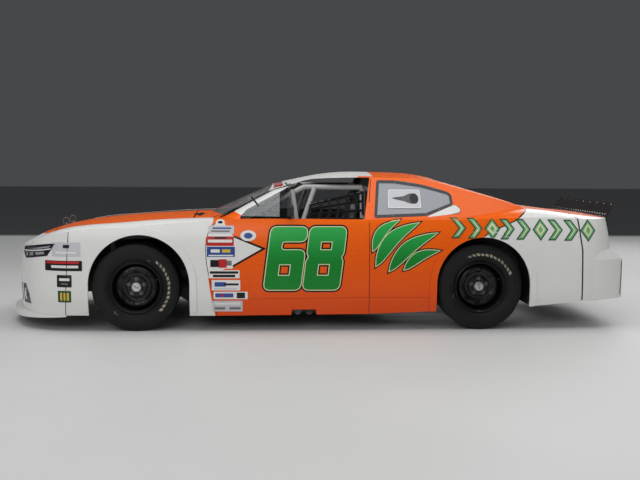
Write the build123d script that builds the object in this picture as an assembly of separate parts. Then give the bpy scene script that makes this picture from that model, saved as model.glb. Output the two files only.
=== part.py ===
from build123d import *
import os
from math import cos, hypot, radians, sin

# Stock car: a closed two-door body hung on a tube frame. Millimetres, +Z up, +X towards the
# tail, -Y on the driver's side. The origin is on the ground under the middle of the length.

# overall sizes
overall_length = 5110.0
wheelbase = 2743.0
front_overhang = 1116.5
body_half_width = 977.0
sill_height = 120.0
skin = 10.0
glass_thickness = 6.0
glass_inset = 2.0
seam = 0.3
lining_gap = 1.0
roof_stand = 0.5
moving_gap = 12.0

# stations along the car
nose_tip = -overall_length / 2
tail_end = overall_length / 2
front_axle = nose_tip + front_overhang
rear_axle = front_axle + wheelbase
nose_seam = front_axle - 530.0
hood_front = front_axle - 690.0
hood_rear = front_axle + 440.0
screen_base = front_axle + 513.0
door_front = front_axle + 612.0
door_rear = rear_axle - 901.0
roof_rear = rear_axle - 290.0
back_base = rear_axle + 488.0
deck_front = back_base + 45.0
bumper_seam = tail_end - 415.0

# running gear
tyre_radius = 344.5
tyre_width = 300.0
tread_width = 262.0
wheel_face = 944.0
bead_radius = 190.0
rim_lip_radius = 205.0
rim_wall = 7.0
rim_width = 262.0
spindle_radius = 26.0
running_clearance = 0.3
kingpin_y = 735.0
hub_radius = 44.0

# wheel arches and their flares
front_arch_shift = 27.0
rear_arch_shift = 20.0
front_arch_radius = 396.0
rear_arch_radius = 380.0
arch_centre_height = 366.0
flare_width = 55.0
flare_height = 10.0
flare_foot = 150.0

# hood, deck lid and spoiler
hood_half_width = 660.0
hood_nose_half_width = 560.0
deck_half_width = 690.0
deck_tail_half_width = 740.0
deck_lip_height = 875.0
hinge_drop = 26.0
hinge_inset = 60.0
hinge_eye_radius = 9.0
hinge_ear_radius = 8.0
hinge_pin_radius = 5.0
spoiler_width = 1462.0
spoiler_height = 134.0
spoiler_set = 171.0
spoiler_angle = 56.0
spoiler_thickness = 6.0

# frame and cage
cage_tube = 44.5
cage_bend = 70.0
rail_width = 76.0
rail_height = 102.0
rail_y = 560.0
clip_rail_y = 370.0
floor_height = 200.0
sheet = 3.0

solids = {}


# Edges of a closed outline. Each point is (a, b) or (a, b, rise): rise bows the run to the
# next point outwards when the outline goes clockwise. place puts a pair into space.
def outline(points, place):
    edges = []
    for here, there in zip(points, points[1:] + points[:1]):
        (a, b), (c, d) = here[:2], there[:2]
        rise = here[2] if len(here) > 2 else 0
        if rise:
            length = hypot(c - a, d - b)
            middle = place((a + c) / 2 - (d - b) / length * rise,
                           (b + d) / 2 + (c - a) / length * rise)
            edges.append(Edge.make_three_point_arc(place(a, b), middle, place(c, d)))
        else:
            edges.append(Edge.make_line(place(a, b), place(c, d)))
    return Wire(edges)


def plan(points, height):
    return outline(points, lambda x, y: Vector(x, y, height))


def across(points, x):
    return outline(points, lambda y, z: Vector(x, y, z))


def side_view(points, y):
    return outline(points, lambda x, z: Vector(x, y, z))


# solids that reach through the body from one of its views
def plan_prism(points, low, high, shrink=0.0):
    face = Face(plan(points, low))
    return Solid.extrude(offset(face, -shrink).face() if shrink else face,
                         Vector(0, 0, high - low))


def side_prism(points, y_from, y_to, shrink=0.0):
    face = Face(side_view(points, y_from))
    return Solid.extrude(offset(face, -shrink).face() if shrink else face,
                         Vector(0, y_to - y_from, 0))


# Both halves of a plan outline: points run from nose to tail on +Y as (x, y, rise to the
# next), and the last point's rise bows the tail. It goes clockwise seen from above.
def both_sides(points, nose_rise):
    left = [(points[0][0], -points[0][1], nose_rise)]
    back = [(points[i][0], -points[i][1], points[i - 1][2])
            for i in range(len(points) - 1, 0, -1)]
    return left + points + back


def box(x0, x1, y0, y1, z0, z1):
    return Pos((x0 + x1) / 2, (y0 + y1) / 2, (z0 + z1) / 2) * Box(x1 - x0, y1 - y0, z1 - z0)


def both(shape):
    return [shape, mirror(shape, Plane.XZ)]


def join(shapes):
    first, *rest = [s for group in shapes for s in (group if isinstance(group, list) else [group])]
    return first.fuse(*rest) if rest else first


def keep(name, shape):
    solids[name] = shape


# --- body surfaces -------------------------------------------------------------------------
# Lower body by height: (height, nose set back, half width less, tail set forward)
body_levels = [
    (sill_height, 62.0, 32.0, 112.0),
    (245.0, 58.0, 5.0, 112.0),
    (430.0, 52.0, 0.0, 110.0),
    (600.0, 68.0, 4.0, 104.0),
    (760.0, 105.0, 20.0, 125.0),
    (880.0, 146.0, 52.0, 152.0),
    (1000.0, 190.0, 98.0, 178.0),
]
nose_sweep, nose_flat = 172.0, 640.0
corner_in, corner_bow = 45.0, 57.0
side_bow, tail_in = 42.0, 40.0
tail_bow, tail_corner_y, tail_corner_bow = 22.0, 755.0, 42.0


def body_outline(nose, half_width, tail, height):
    points = [
        (nose + nose_sweep, nose_flat, corner_bow),
        (nose_seam, half_width - corner_in, side_bow),
        (bumper_seam, half_width - tail_in, tail_corner_bow),
        (tail - tail_bow, tail_corner_y, tail_bow),
    ]
    return plan(both_sides(points, nose_sweep), height)


def body_sides(inset):
    wires = [body_outline(nose_tip + back + inset, body_half_width - less - inset,
                          tail_end - forward - inset, height)
             for height, back, less, forward in body_levels]
    skirt = Solid.make_loft(wires[:2], True)
    flanks = Solid.make_loft(wires[1:], False)
    return skirt.fuse(flanks)


# Top of the lower body by station: (x, crown, hood edge, fender crest, shoulder)
edge_y, crest_y, shoulder_y, far_y = 660.0, 800.0, 920.0, 1150.0
top_stations = [
    (nose_tip - 60, 566, 520, 490, 455),
    (nose_tip + 108, 648, 604, 580, 552),
    (nose_tip + 286, 742, 700, 688, 655),
    (front_axle - 590, 811, 788, 792, 765),
    (front_axle - 205, 866, 826, 842, 808),
    (front_axle + 110, 889, 850, 868, 834),
    (front_axle + 510, 907, 874, 888, 866),
    (door_front + 200, 912, 885, 894, 880),
    (door_rear, 925, 900, 896, 882),
    (rear_axle - 20, 955, 930, 915, 885),
    (back_base - 31, 972, 963, 938, 887),
    (tail_end - 500, 940, 934, 920, 885),
    (tail_end - 150, 903, 897, 888, 866),
    (tail_end + 60, 878, 873, 864, 845),
]


def body_top(inset):
    wires = []
    for x, crown, edge, crest, shoulder in top_stations:
        crown, edge, crest, shoulder = (v - inset for v in (crown, edge, crest, shoulder))
        swell = crest - edge - (shoulder - edge) * (crest_y - edge_y) / (shoulder_y - edge_y)
        wires.append(across([
            (-far_y, -200), (-far_y, shoulder - 480), (-shoulder_y, shoulder, swell),
            (-edge_y, edge, crown - edge), (edge_y, edge, swell),
            (shoulder_y, shoulder), (far_y, shoulder - 480), (far_y, -200)], x))
    return Solid.make_loft(wires, False)


def body_core(inset):
    return body_sides(inset) & body_top(inset)


# Greenhouse: outlines at the belt and at the roof's edge, (x, y, rise to the next)
belt_level, roof_level = 890.0, 1210.0
cabin_low, cabin_high = 874.0, 1330.0
screen_rake = 720.0
belt_points = [(screen_base + 168, 790, 22), (screen_base + 298, 885, 37),
               (rear_axle - 70, 850, 10), (back_base, 700, 16)]
roof_points = [(screen_base + screen_rake + 45, 530, 18), (screen_base + screen_rake + 105, 600, 24),
               (rear_axle - 120, 572, 8), (back_base, 440, 16)]
belt_nose, roof_nose = 168.0, 45.0


def cabin_outline(height, inset):
    share = (height - belt_level) / (roof_level - belt_level)
    points = []
    for (x0, y0, r0), (x1, y1, r1) in zip(belt_points, roof_points):
        points.append((x0 + (x1 - x0) * share, y0 + (y1 - y0) * share - inset,
                       r0 + (r1 - r0) * share))
    x, y, rise = points[0]
    points[0] = (x + 1.6 * inset, y, rise)
    x, y, rise = points[-1]
    points[-1] = (x - inset, y, rise)
    return plan(both_sides(points, belt_nose + (roof_nose - belt_nose) * share), height)


# Roof line by station: (x, crown height, drop at the edge)
roof_edge_y = 600.0
roof_stations = [
    (screen_base - 80, 1000, 40), (screen_base + 400, 1130, 40), (front_axle + 1306, 1197, 40),
    (front_axle + 1642, 1251, 40), (rear_axle - 840, 1256, 40), (rear_axle - 598, 1250, 38),
    (rear_axle - 428, 1236, 34),
    (rear_axle - 258, 1200, 30), (rear_axle + 84, 1104, 26), (rear_axle + 470, 980, 24),
    (rear_axle + 640, 928, 22),
]


def roof_top(inset):
    wires = [across([(-roof_edge_y - 500, 600), (-roof_edge_y - 500, crown - drop - 60 - inset),
                     (-roof_edge_y, crown - drop - inset, drop),
                     (roof_edge_y, crown - drop - inset),
                     (roof_edge_y + 500, crown - drop - 60 - inset), (roof_edge_y + 500, 600)], x)
             for x, crown, drop in roof_stations]
    return Solid.make_loft(wires, False)


def cabin_core(inset):
    sides = Solid.make_loft([cabin_outline(h, inset) for h in (cabin_low, cabin_high)], True)
    return sides & roof_top(inset)


# --- body panels ---------------------------------------------------------------------------
far = 4000.0
nose_line = [(nose_seam - 15, 0), (nose_seam + 15, 1000)]
door_line = [(door_front + 12, -100), (door_front + 12, 120, 14), (door_front - 57, 640, 22),
             (door_front - 5, 862), (door_front - 5, 1500)]
quarter_line = [(door_rear, -100), (door_rear, 1500)]
bumper_line = [(bumper_seam, -100), (bumper_seam, 1500)]

# The body's lower edge from nose to tail, (x, height), with the exhaust notch in the sill
notch_front, notch_length, notch_height, notch_slope = door_front + 587.0, 250.0, 172.0, 32.0
lower_edge = [
    (nose_tip - 100, 124), (nose_seam, 124), (door_front, 122), (door_rear, 134), (rear_axle - 370, 152),
    (rear_axle + 413, 187), (bumper_seam, 227), (tail_end + 100, 238),
]
bumper_low, bumper_high, bumper_shelf, bumper_shelf_in, bulge_in = 236.0, 560.0, 660.0, 126.0, 12.0

hood_area = [(hood_front, -hood_nose_half_width, 38), (hood_front, hood_nose_half_width, 14),
             (hood_rear, hood_half_width), (hood_rear, -hood_half_width, 14)]
cowl_area = [(hood_rear, -hood_half_width), (hood_rear, hood_half_width),
             (screen_base + 260, hood_half_width), (screen_base + 260, -hood_half_width)]
tulip_area = [(back_base - 80, -deck_half_width), (back_base - 80, deck_half_width),
              (deck_front, deck_half_width), (deck_front, -deck_half_width)]
deck_area = [(deck_front, -deck_half_width), (deck_front, deck_half_width),
             (tail_end, deck_tail_half_width), (tail_end, -deck_tail_half_width)]
top_low, top_high = 640.0, 1400.0


def behind(line, shift=0.0):
    points = [(p[0] + shift, *p[1:]) for p in line]
    points += [(far, line[-1][1]), (far, line[0][1])]
    return side_prism(points, -far, far)


def between(shape, front_line, rear_line):
    if front_line:
        shape = shape & behind(front_line, seam / 2)
    return shape - behind(rear_line, -seam / 2) if rear_line else shape


def half_space(sign):
    return box(-far, far, min(0, sign * far), max(0, sign * far), -100, far)


def arch(axle_x, shift, radius, grow=0.0, low=-100.0):
    middle, reach = axle_x + shift, radius + grow
    return side_prism([(middle - reach, low), (middle - reach, arch_centre_height, reach),
                       (middle + reach, arch_centre_height), (middle + reach, low)], -far, far)


front_arch = arch(front_axle, front_arch_shift, front_arch_radius)
rear_arch = arch(rear_axle, rear_arch_shift, rear_arch_radius)


def flare(axle_x, shift, radius):
    band = arch(axle_x, shift, radius, flare_width, flare_foot)
    band = band - arch(axle_x, shift, radius) - underside()
    return (body_sides(-flare_height) - body_sides(skin)) & band


# The rear bumper's bulge stands out of the tail only: its flanks lie inside the body
def bumper_bulge(inset):
    levels = [(bumper_low, 0.0), (bumper_high, 0.0), (bumper_shelf, bumper_shelf_in)]
    wires = [body_outline(nose_tip + 60, body_half_width - bulge_in - inset - forward / 10,
                          tail_end - forward - inset, height) for height, forward in levels]
    return Solid.make_loft(wires, True) & box(rear_axle + 420, far, -far, far, 0, 900)


def underside(rise=0.0):
    edge = [(x, z + rise) for x, z in lower_edge]
    return side_prism([(nose_tip - 100, -100)] + edge + [(tail_end + 100, -100)], -far, far)


def body_shell():
    outer = body_core(0).fuse(bumper_bulge(0))
    inner = body_core(skin).fuse(bumper_bulge(skin))
    notch = [(notch_front, 0), (notch_front + notch_slope, notch_height),
             (notch_front + notch_length - notch_slope, notch_height),
             (notch_front + notch_length, 0)]
    return (outer - inner - underside() - side_prism(notch, -far, 0) - front_arch - rear_arch
            - cabin_core(skin))


# front air intake, its bars and the brake duct mouths beside it
intake_half_width, intake_low, intake_high = 430.0, 180.0, 330.0
intake_bar, intake_columns, intake_rows = 8.0, 13, 4
duct_y, duct_radius = 560.0, 48.0


def intake(shrink=0.0):
    return box(nose_tip - 50, nose_tip + 300, -intake_half_width + shrink,
               intake_half_width - shrink, intake_low + shrink, intake_high - shrink)


def duct_mouths():
    mouth = Pos(nose_tip + 150, duct_y, (intake_low + intake_high) / 2)
    mouth = mouth * Rot(0, 90, 0) * Cylinder(duct_radius, 500)
    return join(both(mouth))


def make_nose_and_grille(shell):
    nose = between(shell, None, nose_line) - plan_prism(hood_area, top_low, top_high)
    keep("nose_cover", nose - intake() - duct_mouths())
    face = (body_sides(2) - body_sides(skin)) & intake(seam)
    width = 2 * intake_half_width / (intake_columns + 1)
    depth = (intake_high - intake_low) / (intake_rows + 1)
    holes = [box(nose_tip - 60, nose_tip + 310,
                 -intake_half_width + width * (i + 0.5) - (width - intake_bar) / 2,
                 -intake_half_width + width * (i + 0.5) + (width - intake_bar) / 2,
                 intake_low + depth * (k + 0.5) - (depth - intake_bar) / 2,
                 intake_low + depth * (k + 0.5) + (depth - intake_bar) / 2)
             for i in range(intake_columns + 1) for k in range(intake_rows + 1)]
    keep("grille", face - join(holes))


splitter_low, splitter_heel, splitter_lap, splitter_in = 70.0, 112.0, 60.0, 24.0


def make_splitter():
    top, end, half = lower_edge[0][1] - seam, nose_seam - 15, body_half_width - splitter_in
    outer = Face(body_outline(nose_tip, half, tail_end, splitter_low))
    inner = Face(body_outline(nose_tip + splitter_lap, half - splitter_lap, tail_end, splitter_low))
    lift = Vector(0, 0, top - splitter_low)
    wedge = [(nose_tip - 1, splitter_low), (nose_tip - 1, top), (end, top), (end, splitter_heel)]
    lip = Solid.extrude(outer, lift) - Solid.extrude(inner, lift)
    keep("splitter", lip & side_prism(wedge, -far, far))


def deck_prism(shrink):
    return plan_prism(deck_area, deck_lip_height - moving_gap + shrink, top_high, shrink)


def make_side_panels(shell):
    fenders = between(shell, nose_line, door_line) - plan_prism(hood_area, top_low, top_high)
    fenders = fenders - plan_prism(cowl_area, top_low, top_high)
    fenders = fenders.fuse(flare(front_axle, front_arch_shift, front_arch_radius))
    doors = between(shell, door_line, quarter_line) - plan_prism(cowl_area, top_low, top_high)
    quarters = between(shell, quarter_line, bumper_line)
    quarters = quarters - plan_prism(tulip_area, top_low, top_high)
    quarters = quarters - deck_prism(0)
    quarters = quarters.fuse(flare(rear_axle, rear_arch_shift, rear_arch_radius))
    for side, sign in (("left", -1), ("right", 1)):
        half = half_space(sign)
        keep("fender_" + side, fenders & half)
        keep("door_" + side, doors & half)
        keep("quarter_" + side, quarters & half)
    keep("bumper_rear", between(shell, bumper_line, None) - deck_prism(0))


# hinges: eyes under a lid's edge turn on pins, held by ears that drop clear of the lid's swing
hinge_y = 430.0
eye_width, ear_width, ear_gap, ear_drop, ear_bar = 40.0, 12.0, 1.5, 78.0, 22.0


def height_on(shape, x, y):
    ray = Edge.make_line(Vector(x, y, 0), Vector(x, y, 2000))
    return (ray & shape).bounding_box().max.Z


def hinge_height(core, x):
    return height_on(core, x, hinge_y) - hinge_drop


def hinge_eyes(x, z):
    barrel = Pos(x, hinge_y, z) * Rot(90, 0, 0) * Cylinder(hinge_eye_radius, eye_width)
    web = box(x - hinge_eye_radius, x + hinge_eye_radius, hinge_y - eye_width / 2,
              hinge_y + eye_width / 2, z, z + hinge_drop - skin / 2)
    bore = Pos(x, hinge_y, z) * Rot(90, 0, 0) * Cylinder(hinge_pin_radius + running_clearance,
                                                        eye_width + 2)
    return both(barrel.fuse(web)), both(bore)


# ears reach down from the pin and along to the carrier at foot_x
def hinge_ears(x, z, foot_x):
    span = eye_width / 2 + ear_gap
    pin = Pos(x, hinge_y, z) * Rot(90, 0, 0) * Cylinder(hinge_pin_radius, 2 * (span + ear_width))
    toe = x - hinge_ear_radius if foot_x > x else x + hinge_ear_radius
    plates = [pin]
    for y0 in (hinge_y - span - ear_width, hinge_y + span):
        plates.append(rod((x, y0, z), (x, y0 + ear_width, z), hinge_ear_radius))
        plates.append(box(x - hinge_ear_radius, x + hinge_ear_radius, y0, y0 + ear_width,
                          z - ear_drop, z))
        plates.append(box(min(toe, foot_x), max(toe, foot_x), y0, y0 + ear_width,
                          z - ear_drop - ear_bar, z - ear_drop))
    return both(join(plates))


def make_lids(shell, core):
    hood_x = hood_rear - hinge_inset
    deck_x = deck_front + hinge_inset
    hood_prism = plan_prism(hood_area, top_low, top_high, moving_gap)
    for name, prism, x in (("hood", hood_prism, hood_x), ("deck_lid", deck_prism(moving_gap), deck_x)):
        lid = shell & prism
        eyes, bores = hinge_eyes(x, hinge_height(core, x))
        keep(name, lid.fuse(*eyes).cut(*bores))
    keep("cowl_panel", shell & plan_prism(cowl_area, top_low, top_high, seam))
    keep("tulip_panel", shell & plan_prism(tulip_area, top_low, top_high, seam))


def make_spoiler(core):
    lean = radians(spoiler_angle)
    foot_x = tail_end - spoiler_set
    foot_z = height_on(core, foot_x, 0) + seam
    tip = (foot_x + spoiler_height * cos(lean), foot_z + spoiler_height * sin(lean))
    thick = spoiler_thickness
    blade = side_prism([(foot_x, foot_z), tip, (tip[0] + thick * sin(lean), tip[1] - thick * cos(lean)),
                        (foot_x + thick / sin(lean), foot_z)],
                       -spoiler_width / 2, spoiler_width / 2)
    foot = box(foot_x - 24, foot_x + 4, -deck_half_width, deck_half_width, foot_z, foot_z + 4)
    keep("spoiler", (blade.fuse(foot)) - core)


# --- greenhouse ----------------------------------------------------------------------------
# Openings in side view, (x, z, rise), from the front corner clockwise
side_window = [(front_axle + 816, 870), (front_axle + 820, 905), (front_axle + 871, 958),
               (front_axle + 1220, 1142, 12), (front_axle + 1468, 1203, 4),
               (door_rear + 34, 1214), (door_rear - 40, 870)]
pillar_top, pillar_foot = door_rear + 98, door_rear + 42
quarter_window = [(pillar_top, 1194), (pillar_top + 140, 1192, 14), (rear_axle - 231, 1100),
                  (rear_axle - 210, 1076), (rear_axle - 211, 1000), (rear_axle - 404, 937, 3),
                  (pillar_foot, 905)]
vent_pane = [(front_axle + 823, 908), (front_axle + 874, 956), (front_axle + 1136, 1098),
             (front_axle + 1130, 905)]
# Openings seen from above
screen_foot, screen_head = screen_base + 203.0, screen_base + screen_rake + 15.0
screen_area = [(screen_foot, -760, 148), (screen_foot, 760),
               (screen_head, 515, -60), (screen_head, -515)]
back_area = [(roof_rear, -478, 18), (roof_rear, 478, 4), (back_base + 30, 600, 24),
             (back_base + 30, -600, 4)]


def window_prism(points, shrink=0.0):
    return side_prism(points, -far, far, shrink)


def area_prism(points, shrink=0.0):
    return plan_prism(points, cabin_low, top_high, shrink)


def make_greenhouse(core):
    cabin = cabin_core(0)
    frame = cabin - cabin_core(skin) - core
    pane = cabin_core(glass_inset) - cabin_core(glass_inset + glass_thickness) - core
    frame = frame - window_prism(side_window) - window_prism(quarter_window)
    frame = frame - area_prism(screen_area) - area_prism(back_area)
    keep("windshield", pane & area_prism(screen_area, seam))
    keep("rear_window", pane & area_prism(back_area, seam))
    keep("quarter_windows", pane & window_prism(quarter_window, seam))
    keep("vent_panes", pane & window_prism(vent_pane, seam))
    sail_from, sail_y = door_rear - 62, 540.0
    sails = box(sail_from, far, sail_y, far, 0, far)
    sails = sails.fuse(mirror(sails, Plane.XZ))
    keep("roof_panel", frame - sails)
    sail = frame & box(sail_from + seam, far, -far, -sail_y - seam, 0, far)
    keep("sail_panel_left", sail)
    keep("sail_panel_right", mirror(sail, Plane.XZ))


# --- running gear --------------------------------------------------------------------------
def turned(profile):
    return revolve(Face(Wire.make_polygon([Vector(0, y, r) for y, r in profile])), Axis.Y)


def make_tyre():
    half, tread = tyre_width / 2, tread_width / 2
    bead, seat = rim_width / 2 - 12, bead_radius + seam
    heel = rim_lip_radius + 3
    edges = [
        Edge.make_line(Vector(0, -bead, seat), Vector(0, bead, seat)),
        Edge.make_line(Vector(0, bead, seat), Vector(0, bead, heel)),
        Edge.make_line(Vector(0, -bead, heel), Vector(0, -bead, seat)),
        Edge.make_three_point_arc(Vector(0, bead, heel), Vector(0, half, (heel + tyre_radius) / 2),
                                  Vector(0, tread + 6, tyre_radius - 16)),
        Edge.make_three_point_arc(Vector(0, tread + 6, tyre_radius - 16),
                                  Vector(0, tread + 1, tyre_radius - 5),
                                  Vector(0, tread - 12, tyre_radius)),
        Edge.make_line(Vector(0, tread - 12, tyre_radius), Vector(0, 12 - tread, tyre_radius)),
        Edge.make_three_point_arc(Vector(0, 12 - tread, tyre_radius),
                                  Vector(0, -tread - 1, tyre_radius - 5),
                                  Vector(0, -tread - 6, tyre_radius - 16)),
        Edge.make_three_point_arc(Vector(0, -tread - 6, tyre_radius - 16),
                                  Vector(0, -half, (heel + tyre_radius) / 2),
                                  Vector(0, -bead, heel)),
    ]
    return revolve(Face(Wire(edges)), Axis.Y)


wheel_y = wheel_face - tyre_width / 2


# Steel wheel: barrel, dished disc and hub, outer side towards -Y, middle of the rim at y = 0
disc_set, disc_wall, nut_circle, nut_radius, nut_height, nut_count = 62.0, 9.0, 63.5, 12.0, 22.0, 5
well_radius, well_half_width = 166.0, 34.0
cap_radius, cap_height = 46.0, 26.0
hub_back = 26.0
wheel_disc_y = wheel_y + rim_width / 2 - disc_set


def make_rim():
    half, lip = rim_width / 2, rim_lip_radius
    r, w = bead_radius, rim_wall
    barrel = turned([
        (-half, lip), (-half, lip - w), (-half + 14, r - w), (-well_half_width - 46, r - w - 4),
        (-well_half_width - 30, well_radius - w), (well_half_width - 30, well_radius - w),
        (well_half_width, r - w - 4), (half - 14, r - w), (half, lip - w), (half, lip),
        (half - w, lip), (half - w, r), (well_half_width + 6, r),
        (well_half_width - 24, well_radius), (-well_half_width - 36, well_radius),
        (-well_half_width - 52, r), (-half + w, r), (-half + w, lip)])
    face = -half + disc_set
    disc = turned([
        (face + 26, r - w - 4), (face + 2, 150), (face, 132), (face + 14, 112), (face + 14, 84),
        (face + 4, 76), (face + 4, spindle_radius + running_clearance),
        (face + 4 + disc_wall, spindle_radius + running_clearance), (face + 4 + disc_wall, 80),
        (face + 14 + disc_wall, 88), (face + 14 + disc_wall, 110), (face + disc_wall, 130),
        (face + disc_wall, 146), (face + 26 + disc_wall, r - w - 2)])
    hub = turned([(face + 4, hub_radius), (face + 4, spindle_radius + running_clearance),
                  (hub_back, spindle_radius + running_clearance), (hub_back, hub_radius)])
    cap = turned([(face + 5, cap_radius), (face - cap_height + 6, cap_radius - 5),
                  (face - cap_height, cap_radius - 14), (face - cap_height, 0), (face - 6, 0),
                  (face - 6, spindle_radius), (face + 5, spindle_radius + 2)])
    nuts = [Pos(nut_circle * cos(radians(a)), face + 4 - nut_height / 2, nut_circle * sin(radians(a)))
            * Rot(90, 0, 0) * Cylinder(nut_radius, nut_height)
            for a in range(90, 450, 360 // nut_count)]
    return join([barrel, disc, hub, cap] + nuts)


wheels = {"fl": (front_axle, -1), "fr": (front_axle, 1), "rl": (rear_axle, -1), "rr": (rear_axle, 1)}


def make_wheels():
    tyre, rim = make_tyre(), make_rim()
    for name, (x, sign) in wheels.items():
        place = Pos(x, sign * wheel_y, tyre_radius)
        facing = Rot(0, 0, 0) if sign < 0 else Rot(0, 0, 180)
        keep("tyre_" + name, place * facing * tyre)
        keep("rim_" + name, place * facing * rim)


# Front suspension: arms end in studs on the kingpin axis, and the knuckle turns about them
arm_low, arm_high, arm_tube, arm_spread = 205.0, 484.0, 13.0, 105.0
stud_radius, stud_reach, eye_half = 10.0, 44.0, 10.0
knuckle_gap = 12.0
steer_arm_x, steer_arm_y, steer_arm_z = 88.0, 690.0, 262.0
tower_top, spring_y, spring_radius = 640.0, 500.0, 45.0


def rod(start, end, radius):
    a, b = Vector(*start), Vector(*end)
    return Solid.make_cylinder(radius, (b - a).length, Plane(origin=a, z_dir=b - a))


def tube_run(points, radius, bend):
    path = FilletPolyline(*points, radius=bend) if len(points) > 2 else Line(*points)
    start, ahead = Vector(*points[0]), Vector(*points[1])
    return sweep(Plane(origin=start, z_dir=ahead - start) * Circle(radius), path)


arm_rise = 85.0
seat_height = arm_low + arm_rise * (kingpin_y - 8 - spring_y) / (kingpin_y - 8 - clip_rail_y
                                                                 - rail_width / 2)


def make_front_arms():
    pieces = []
    rail_side = clip_rail_y + rail_width / 2 + seam
    for z, up in ((arm_low, 1), (arm_high, -1)):
        mount_z = z + arm_rise if up > 0 else z
        side = [rod((front_axle + dx, rail_side, mount_z), (front_axle, kingpin_y - 8, z), arm_tube)
                for dx in (-arm_spread, arm_spread)]
        side.append(Pos(front_axle, kingpin_y, z) * Cylinder(24, 2 * eye_half))
        side.append(Pos(front_axle, kingpin_y, z + up * stud_reach / 2)
                    * Cylinder(stud_radius, stud_reach))
        if up > 0:
            side.append(box(front_axle - 96, front_axle + 96, spring_y - 20, spring_y + 20,
                            seat_height - 6, seat_height + 6))
        arm = join(side) - box(-far, far, 0, rail_side, 0, far)
        pieces += both(arm)
    keep("front_arms", Compound(pieces))


def make_knuckles():
    low, high = arm_low + eye_half + knuckle_gap, arm_high - eye_half - knuckle_gap
    upright = Pos(front_axle, kingpin_y, (low + high) / 2) * Box(56, 52, high - low)
    spindle = rod((front_axle, kingpin_y, tyre_radius), (front_axle, wheel_disc_y - 2, tyre_radius),
                  spindle_radius)
    arm = Solid.extrude(Face(plan([
        (front_axle + 10, kingpin_y - 24), (front_axle + 10, kingpin_y + 20),
        (front_axle + steer_arm_x + 16, steer_arm_y + 14),
        (front_axle + steer_arm_x + 16, steer_arm_y - 16)], steer_arm_z - 10)), Vector(0, 0, 20))
    bore = Pos(front_axle, kingpin_y, tyre_radius) * Cylinder(stud_radius + running_clearance, 600)
    knuckle = join([upright, spindle, arm]) - (bore & box(-far, far, 0, far, 0, low + stud_reach))
    knuckle = knuckle - (bore & box(-far, far, 0, far, high - stud_reach, far))
    keep("knuckle_right", knuckle)
    keep("knuckle_left", mirror(knuckle, Plane.XZ))


def make_front_springs():
    spring_low = seat_height + 6
    coil = Pos(front_axle, spring_y, (spring_low + tower_top) / 2)
    coil = coil * Cylinder(spring_radius, tower_top - spring_low - 2 * seam)
    keep("front_springs", Compound(both(coil)))


rack_radius, tie_drop = 12.0, 16.0


def make_steering_rack():
    x, z = front_axle + steer_arm_x, steer_arm_z - tie_drop - rack_radius
    bar = rod((x, -steer_arm_y - 16, z), (x, steer_arm_y + 16, z), rack_radius)
    keep("steering_rack", bar)
    housing = box(x - 34, x + 34, -clip_rail_y + rail_width / 2 + seam,
                  clip_rail_y - rail_width / 2 - seam, z - 30, z + 30)
    bore = rod((x, -900, z), (x, 900, z), rack_radius + running_clearance)
    keep("rack_housing", housing - bore)


wheel_rim_radius, wheel_rim_tube, wheel_tilt = 185.0, 14.0, 22.0
driver_y = -375.0
wheel_centre = (front_axle + 1085.0, driver_y, 800.0)


column_radius = 19.0


def column_rod(radius, length):
    frame = Plane(origin=wheel_centre, z_dir=(cos(radians(wheel_tilt)), 0, sin(radians(wheel_tilt))))
    return frame * Pos(0, 0, -26 - seam - length / 2) * Cylinder(radius, length)


def make_steering():
    frame = Plane(origin=wheel_centre, z_dir=(cos(radians(wheel_tilt)), 0, sin(radians(wheel_tilt))))
    ring = frame * Torus(wheel_rim_radius, wheel_rim_tube)
    spokes = [frame * Rot(0, 0, a) * Pos(wheel_rim_radius / 2, 0, 0) * Box(wheel_rim_radius, 34, 8)
              for a in (0, 90, 180, 270)]
    boss = frame * Pos(0, 0, -8) * Cylinder(38, 36)
    keep("steering_wheel", join([ring, boss] + spokes))
    keep("steering_column", column_rod(column_radius, 500))


# --- frame, cage and cabin -----------------------------------------------------------------
def ribbon(points, height, y_from, y_to):
    low = [(x, z - height / 2) for x, z in points]
    high = [(x, z + height / 2) for x, z in points]
    return side_prism(high + low[::-1], y_from, y_to)


floor_front, floor_rear = front_axle + 500.0, rear_axle - 620.0
rail_front, rail_rear = floor_front - 25, floor_rear + 25
main_rail_z = floor_height - rail_height / 2 - seam
clip_run = [(nose_tip + 300, 300), (front_axle - 420, 300), (front_axle + 240, 300),
            (rail_front, main_rail_z)]
rear_run = [(rail_rear, main_rail_z), (rear_axle - 330, 600),
            (rear_axle + 330, 600), (tail_end - 320, 480)]
rear_rail_y = 450.0
pipe_radius, pipe_bend, pipe_z, pipe_out = 30.0, 34.0, 150.0, 880.0
engine_half_width, engine_low, engine_high = 250.0, 290.0, 730.0
engine_front, engine_rear = front_axle - 120.0, front_axle + 420.0
pipe_y = engine_half_width + 41.0
pipe_runs = []
for side, exit_x in ((-1, notch_front + 80), (1, notch_front + 170)):
    pipe_runs.append([
        (engine_rear - 200, side * (engine_half_width + seam), 400),
        (engine_rear - 200, side * pipe_y, 400), (engine_rear + 50, side * pipe_y, pipe_z),
        (exit_x, side * pipe_y, pipe_z), (exit_x, -pipe_out, pipe_z)])


def rear_rail_height(x):
    (x0, z0), (x1, z1) = rear_run[-2:]
    return z0 + (z1 - z0) * (x - x0) / (x1 - x0)


tow_reach, tow_plate, tow_radius, tow_rim = 46.0, 16.0, 15.0, 30.0


def tow_eye(x, z, ahead):
    hole_x = x + ahead * tow_reach
    plate = box(min(x, hole_x), max(x, hole_x), -tow_rim, tow_rim, z - tow_plate / 2, z + tow_plate / 2)
    ring = Pos(hole_x, 0, z) * Cylinder(tow_rim, tow_plate)
    return plate.fuse(ring) - Pos(hole_x, 0, z) * Cylinder(tow_radius, 2 * tow_plate)


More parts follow.
